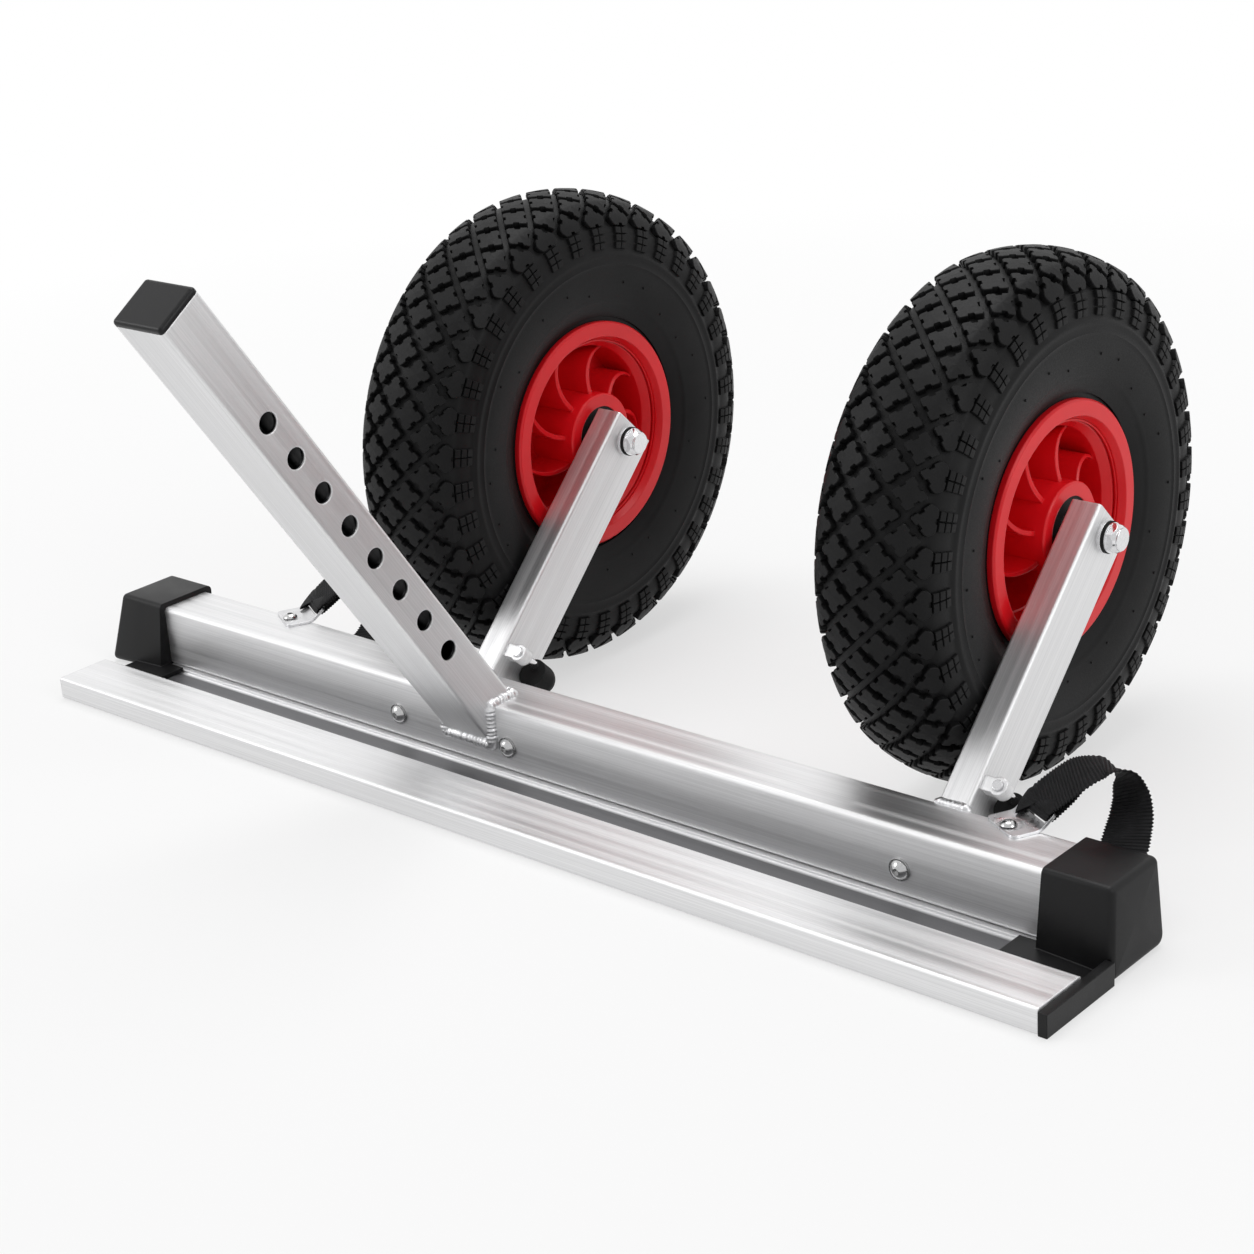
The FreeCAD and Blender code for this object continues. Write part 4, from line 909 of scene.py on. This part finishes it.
def make_cap(side, material):
    """Moulded cap with rounded edges, a pocket for the tube and a foot in the groove."""
    sign = 1 if side == "right" else -1
    tube_end = TUBE_HALF + sign * TUBE_SHIFT
    rim, end = tube_end - CAP_GRIP, tube_end + CAP_END_WALL
    rows = [(0.0, 0.0, CAP_MOUTH_CHAMFER), (0.0, 0.0, 0.0), (0.5, 0.0, 0.0)]
    for k in range(CAP_ROUND_STEPS + 1):
        angle = math.pi / 2 * k / CAP_ROUND_STEPS
        rows.append((1.0, CAP_ROUND * (1 - math.sin(angle)), CAP_ROUND * (1 - math.cos(angle))))
    points = []

    def add_ring(outline, places):
        points.extend((sign * x, y, z) for x, (y, z) in zip(places, outline))

    for share, back_off, inset in rows:
        outline = cap_section(share, inset)
        length = cap_outer(end, outline[:, 1]) - rim
        add_ring(outline, rim + length * share - back_off)
    count = len(outline)
    faces = grid_faces(len(rows), count, wrap_columns=True)
    centre = outline.mean(axis=0)
    add_ring([centre], [cap_outer(end, centre[1])])
    last = (len(rows) - 1) * count
    faces += [(last + i, last + (i + 1) % count, len(points) - 1) for i in range(count)]
    front, back = TUBE_FRONT - CAP_FIT, TUBE_BACK + CAP_FIT
    low, top = SEAT_TOP - CAP_FIT, TUBE_TOP + CAP_FIT
    pocket = rounded_outline([(front, low), (back, low), (back, top), (front, top)], (CAP_POCKET_ROUND,) * 4)
    mouth = len(points)
    add_ring(pocket, [rim] * count)
    deep = len(points)
    add_ring(pocket, [tube_end + CAP_FIT] * count)
    for i in range(count):
        n = (i + 1) % count
        faces.append((mouth + i, mouth + n, n, i))
        faces.append((deep + i, deep + n, mouth + n, mouth + i))
    faces.append(tuple(deep + i for i in range(count))[::-1])
    blocks = [((rim - CAP_FOOT, BAR_BACK + CAP_FIT, CAP_FOOT_FLOOR),
               (BAR_HALF, TUBE_FRONT - CAP_WALL + CAP_FOOT_SINK, CAP_FOOT_TOP))]
    if side == "right":
        blocks.append(((BAR_HALF + CAP_FIT, -BASE_HALF, 0.0),
                       (BAR_HALF + CAP_TAIL, CAP_TAIL_FRONT, CAP_TAIL_TOP)))
        blocks.append(((BAR_HALF - CAP_JOINT_INSIDE, BAR_BACK + 1.0, CAP_FOOT_FLOOR),
                       (BAR_HALF + CAP_JOINT_OUTSIDE, TUBE_FRONT - 2.0, CAP_FOOT_TOP)))
    for low, high in blocks:
        made, made_faces = box_mesh(low, high)
        faces += [tuple(v + len(points) for v in f) for f in made_faces]
        points += [(sign * x, y, z) for x, y, z in made]
    if sign < 0:
        faces = [f[::-1] for f in faces]
    piece = add_piece("moulded_cap_" + side, points, faces, material, "frame", ["end_cap_" + side],
                      40.0)
    add_bevel(piece, 0.6, 3, 60)


# Welds

BEAD_STEP = 0.45
BEAD_SEGMENTS = 14
BEAD_SMOOTHING = 5
RIPPLE_LENGTH = 2.1
RIPPLE_LAG = 0.55
DRAWBAR_BEAD = 3.4
ARM_BEAD = 2.4
ARM_BEAD_START = 2.6


def make_bead(name, seam, radius, material, node, seed, closed=True):
    """Weld bead with overlapping ripples along a seam."""
    rng = random.Random(seed)
    corners = [np.array(p, float) for p in seam]
    if closed:
        corners = corners + corners[:1]
    path = []
    for a, b in zip(corners, corners[1:]):
        steps = max(int(np.linalg.norm(b - a) / BEAD_STEP), 1)
        path += [a + (b - a) * i / steps for i in range(steps)]
    if not closed:
        path.append(corners[-1])
    path = np.array(path)
    count = len(path)
    smooth = []
    for i in range(count):
        near = range(i - BEAD_SMOOTHING, i + BEAD_SMOOTHING + 1)
        near = [k % count if closed else min(max(k, 0), count - 1) for k in near]
        smooth.append(np.mean([path[k] for k in near], axis=0))
    smooth = np.array(smooth)
    tangent = np.roll(smooth, -1, 0) - np.roll(smooth, 1, 0) if closed else np.gradient(smooth, axis=0)
    tangent /= np.linalg.norm(tangent, axis=1)[:, None]
    points = []
    phase = 0.0
    swell = 0.0
    for i in range(count):
        phase += BEAD_STEP / RIPPLE_LENGTH * rng.uniform(0.85, 1.15)
        swell = swell * 0.9 + rng.uniform(-0.03, 0.03)
        ripple = phase % 1.0
        size = radius * (0.78 + 0.24 * math.sqrt(max(1 - ripple ** 2, 0.0)) + swell)
        side = np.cross(tangent[i], [0.31, 0.52, 0.79])
        side /= np.linalg.norm(side)
        up = np.cross(side, tangent[i])
        lag = RIPPLE_LAG * ripple
        for k in range(BEAD_SEGMENTS):
            angle = 2 * math.pi * k / BEAD_SEGMENTS
            outward = side * math.cos(angle) + up * math.sin(angle)
            points.append(smooth[i] + outward * size - tangent[i] * lag)
    faces = grid_faces(count, BEAD_SEGMENTS, wrap_rows=closed, wrap_columns=True)
    if not closed:
        faces.append(tuple(range(BEAD_SEGMENTS)))
        faces.append(tuple(range(len(points) - 1, len(points) - 1 - BEAD_SEGMENTS, -1)))
    add_piece(name, points, faces, material, "frame", [node], 60.0)


def make_welds(material):
    """Beads round the drawbar's foot and up the arms' feet."""
    sine, cosine = math.sin(DRAWBAR_LEAN), math.cos(DRAWBAR_LEAN)
    drop = (DRAWBAR_DEPTH - DRAWBAR_SEAT * cosine) / sine
    foot_y = TUBE_FRONT + DRAWBAR_SEAT
    left = DRAWBAR_RIGHT - DRAWBAR_WIDTH
    profile = ((foot_y, TUBE_TOP), (TUBE_FRONT, TUBE_TOP), (TUBE_FRONT, TUBE_TOP - drop))
    seam = [(DRAWBAR_RIGHT, y, z) for y, z in profile] + [(left, y, z) for y, z in reversed(profile)]
    make_bead("bead_drawbar", seam, DRAWBAR_BEAD, material, "drawbar_weld", 5)
    low = SEAT_TOP + ARM_BEAD_START
    for seed, side in enumerate(SIDES, 11):
        right = ARM_FACE[side]
        left = right - ARM_WIDTH
        corners = ((right, low), (right, TUBE_TOP), (left, TUBE_TOP), (left, low))
        seam = [(x, TUBE_BACK, z) for x, z in corners]
        make_bead("bead_arm_" + side, seam, ARM_BEAD, material, "arm_weld_" + side, seed, closed=False)


# Stage

FLOOR_REACH = 14.0
FLOOR_DROP = 0.0002
FLOOR_GREY = 0.78
WHITE_FROM = 0.4
WHITE_AT = 1.3
NEAR_WHITE = 0.6
WORLD_LIGHT = 0.62
WORLD_SHADE = (0.78, 0.78, 0.785, 1)
WORLD_SLOPE = (-0.5, 0.75, 0.0)
WHITE = (1, 1, 1, 1)
AIM = (0, 0.05, 0.08)
LAMPS = (
    ("overhead", (-0.2, 0.5, 2.3), 1.8, 28.0),
    ("front_left", (-1.9, -1.5, 1.5), 1.4, 17.0),
    ("right", (2.2, 0.1, 1.5), 1.2, 12.0),
)


def backdrop_rays(tree):
    """1 for rays that see the background: straight, mirrored or through something clear."""
    path = add_node(tree, "ShaderNodeLightPath")
    seen = path.outputs["Is Camera Ray"]
    for kind in ("Is Glossy Ray", "Is Transmission Ray"):
        either = add_node(tree, "ShaderNodeMath", operation="MAXIMUM")
        tree.links.new(seen, either.inputs[0])
        tree.links.new(path.outputs[kind], either.inputs[1])
        seen = either.outputs[0]
    return seen


def floor_material():
    """Pale grey that shows as white to the camera further out, and keeps the shadow near the part."""
    material = bpy.data.materials.new("floor")
    material.use_nodes = True
    tree = material.node_tree
    tree.nodes.clear()
    diffuse = add_node(tree, "ShaderNodeBsdfDiffuse")
    diffuse.inputs["Color"].default_value = (FLOOR_GREY, FLOOR_GREY, FLOOR_GREY, 1)
    glow = add_node(tree, "ShaderNodeEmission")
    glow.inputs["Strength"].default_value = 1.0
    glow.inputs["Color"].default_value = WHITE
    near = add_node(tree, "ShaderNodeTexCoord")
    distance = add_node(tree, "ShaderNodeVectorMath", operation="LENGTH")
    fade = add_node(tree, "ShaderNodeMapRange")
    fade.inputs["From Min"].default_value = WHITE_FROM
    fade.inputs["From Max"].default_value = WHITE_AT
    fade.inputs["To Min"].default_value = NEAR_WHITE
    fade.inputs["To Max"].default_value = 1.0
    share = add_node(tree, "ShaderNodeMath", operation="MULTIPLY")
    mix = add_node(tree, "ShaderNodeMixShader")
    output = add_node(tree, "ShaderNodeOutputMaterial")
    tree.links.new(near.outputs["Object"], distance.inputs[0])
    tree.links.new(distance.outputs["Value"], fade.inputs["Value"])
    tree.links.new(backdrop_rays(tree), share.inputs[0])
    tree.links.new(fade.outputs["Result"], share.inputs[1])
    tree.links.new(share.outputs[0], mix.inputs["Fac"])
    tree.links.new(diffuse.outputs[0], mix.inputs[1])
    tree.links.new(glow.outputs[0], mix.inputs[2])
    tree.links.new(mix.outputs[0], output.inputs["Surface"])
    return material


def make_world():
    """White to the camera, and a weaker light that is darker towards one side."""
    world = bpy.data.worlds.new("studio")
    bpy.context.scene.world = world
    world.use_nodes = True
    tree = world.node_tree
    tree.nodes.clear()
    level = add_node(tree, "ShaderNodeMapRange")
    level.inputs["To Min"].default_value = WORLD_LIGHT
    level.inputs["To Max"].default_value = 1.0
    direction = add_node(tree, "ShaderNodeTexCoord")
    slope = add_node(tree, "ShaderNodeVectorMath", operation="DOT_PRODUCT")
    slope.inputs[1].default_value = WORLD_SLOPE
    shade = add_node(tree, "ShaderNodeValToRGB")
    shade.color_ramp.elements[0].position = 0.0
    shade.color_ramp.elements[0].color = WORLD_SHADE
    shade.color_ramp.elements[1].position = 0.4
    shade.color_ramp.elements[1].color = WHITE
    background = add_node(tree, "ShaderNodeBackground")
    output = add_node(tree, "ShaderNodeOutputWorld")
    tree.links.new(backdrop_rays(tree), level.inputs["Value"])
    tree.links.new(level.outputs["Result"], background.inputs["Strength"])
    tree.links.new(direction.outputs["Generated"], slope.inputs[0])
    tree.links.new(slope.outputs["Value"], shade.inputs["Fac"])
    tree.links.new(shade.outputs["Color"], background.inputs["Color"])
    tree.links.new(background.outputs[0], output.inputs["Surface"])


def make_stage():
    """Pale floor and soft light on a white background."""
    mesh = bpy.data.meshes.new("floor")
    corners = [(x * FLOOR_REACH, y * FLOOR_REACH, 0) for x, y in ((-1, -1), (1, -1), (1, 1), (-1, 1))]
    mesh.from_pydata(corners, [], [(0, 1, 2, 3)])
    mesh.materials.append(floor_material())
    floor = bpy.data.objects.new("floor", mesh)
    floor.location.z = -FLOOR_DROP
    bpy.context.scene.collection.objects.link(floor)
    make_world()
    for name, place, size, power in LAMPS:
        data = bpy.data.lights.new(name, "AREA")
        data.shape = "DISK"
        data.size = size
        data.energy = power
        lamp = bpy.data.objects.new(name, data)
        lamp.location = place
        aim = Vector(AIM) - Vector(place)
        lamp.rotation_euler = aim.to_track_quat("-Z", "Y").to_euler()
        bpy.context.scene.collection.objects.link(lamp)
    bpy.context.scene.view_settings.view_transform = "Standard"


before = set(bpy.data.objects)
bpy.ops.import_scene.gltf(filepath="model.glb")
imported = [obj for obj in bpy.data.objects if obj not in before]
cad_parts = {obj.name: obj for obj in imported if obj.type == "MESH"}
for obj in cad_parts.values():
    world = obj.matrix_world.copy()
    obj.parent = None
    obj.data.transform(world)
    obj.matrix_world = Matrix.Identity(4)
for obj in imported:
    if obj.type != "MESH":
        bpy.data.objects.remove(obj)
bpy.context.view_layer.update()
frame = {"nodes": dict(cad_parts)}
make_camera()
finishes = make_finishes()
dress_nodes(frame, finishes)
make_tyres(finishes)
for part_side in SIDES:
    make_strap(part_side, finishes["webbing"])
    make_plate(part_side, finishes["plate"])
    make_cap(part_side, finishes["cap"])
make_welds(finishes["weld"])
make_stage()
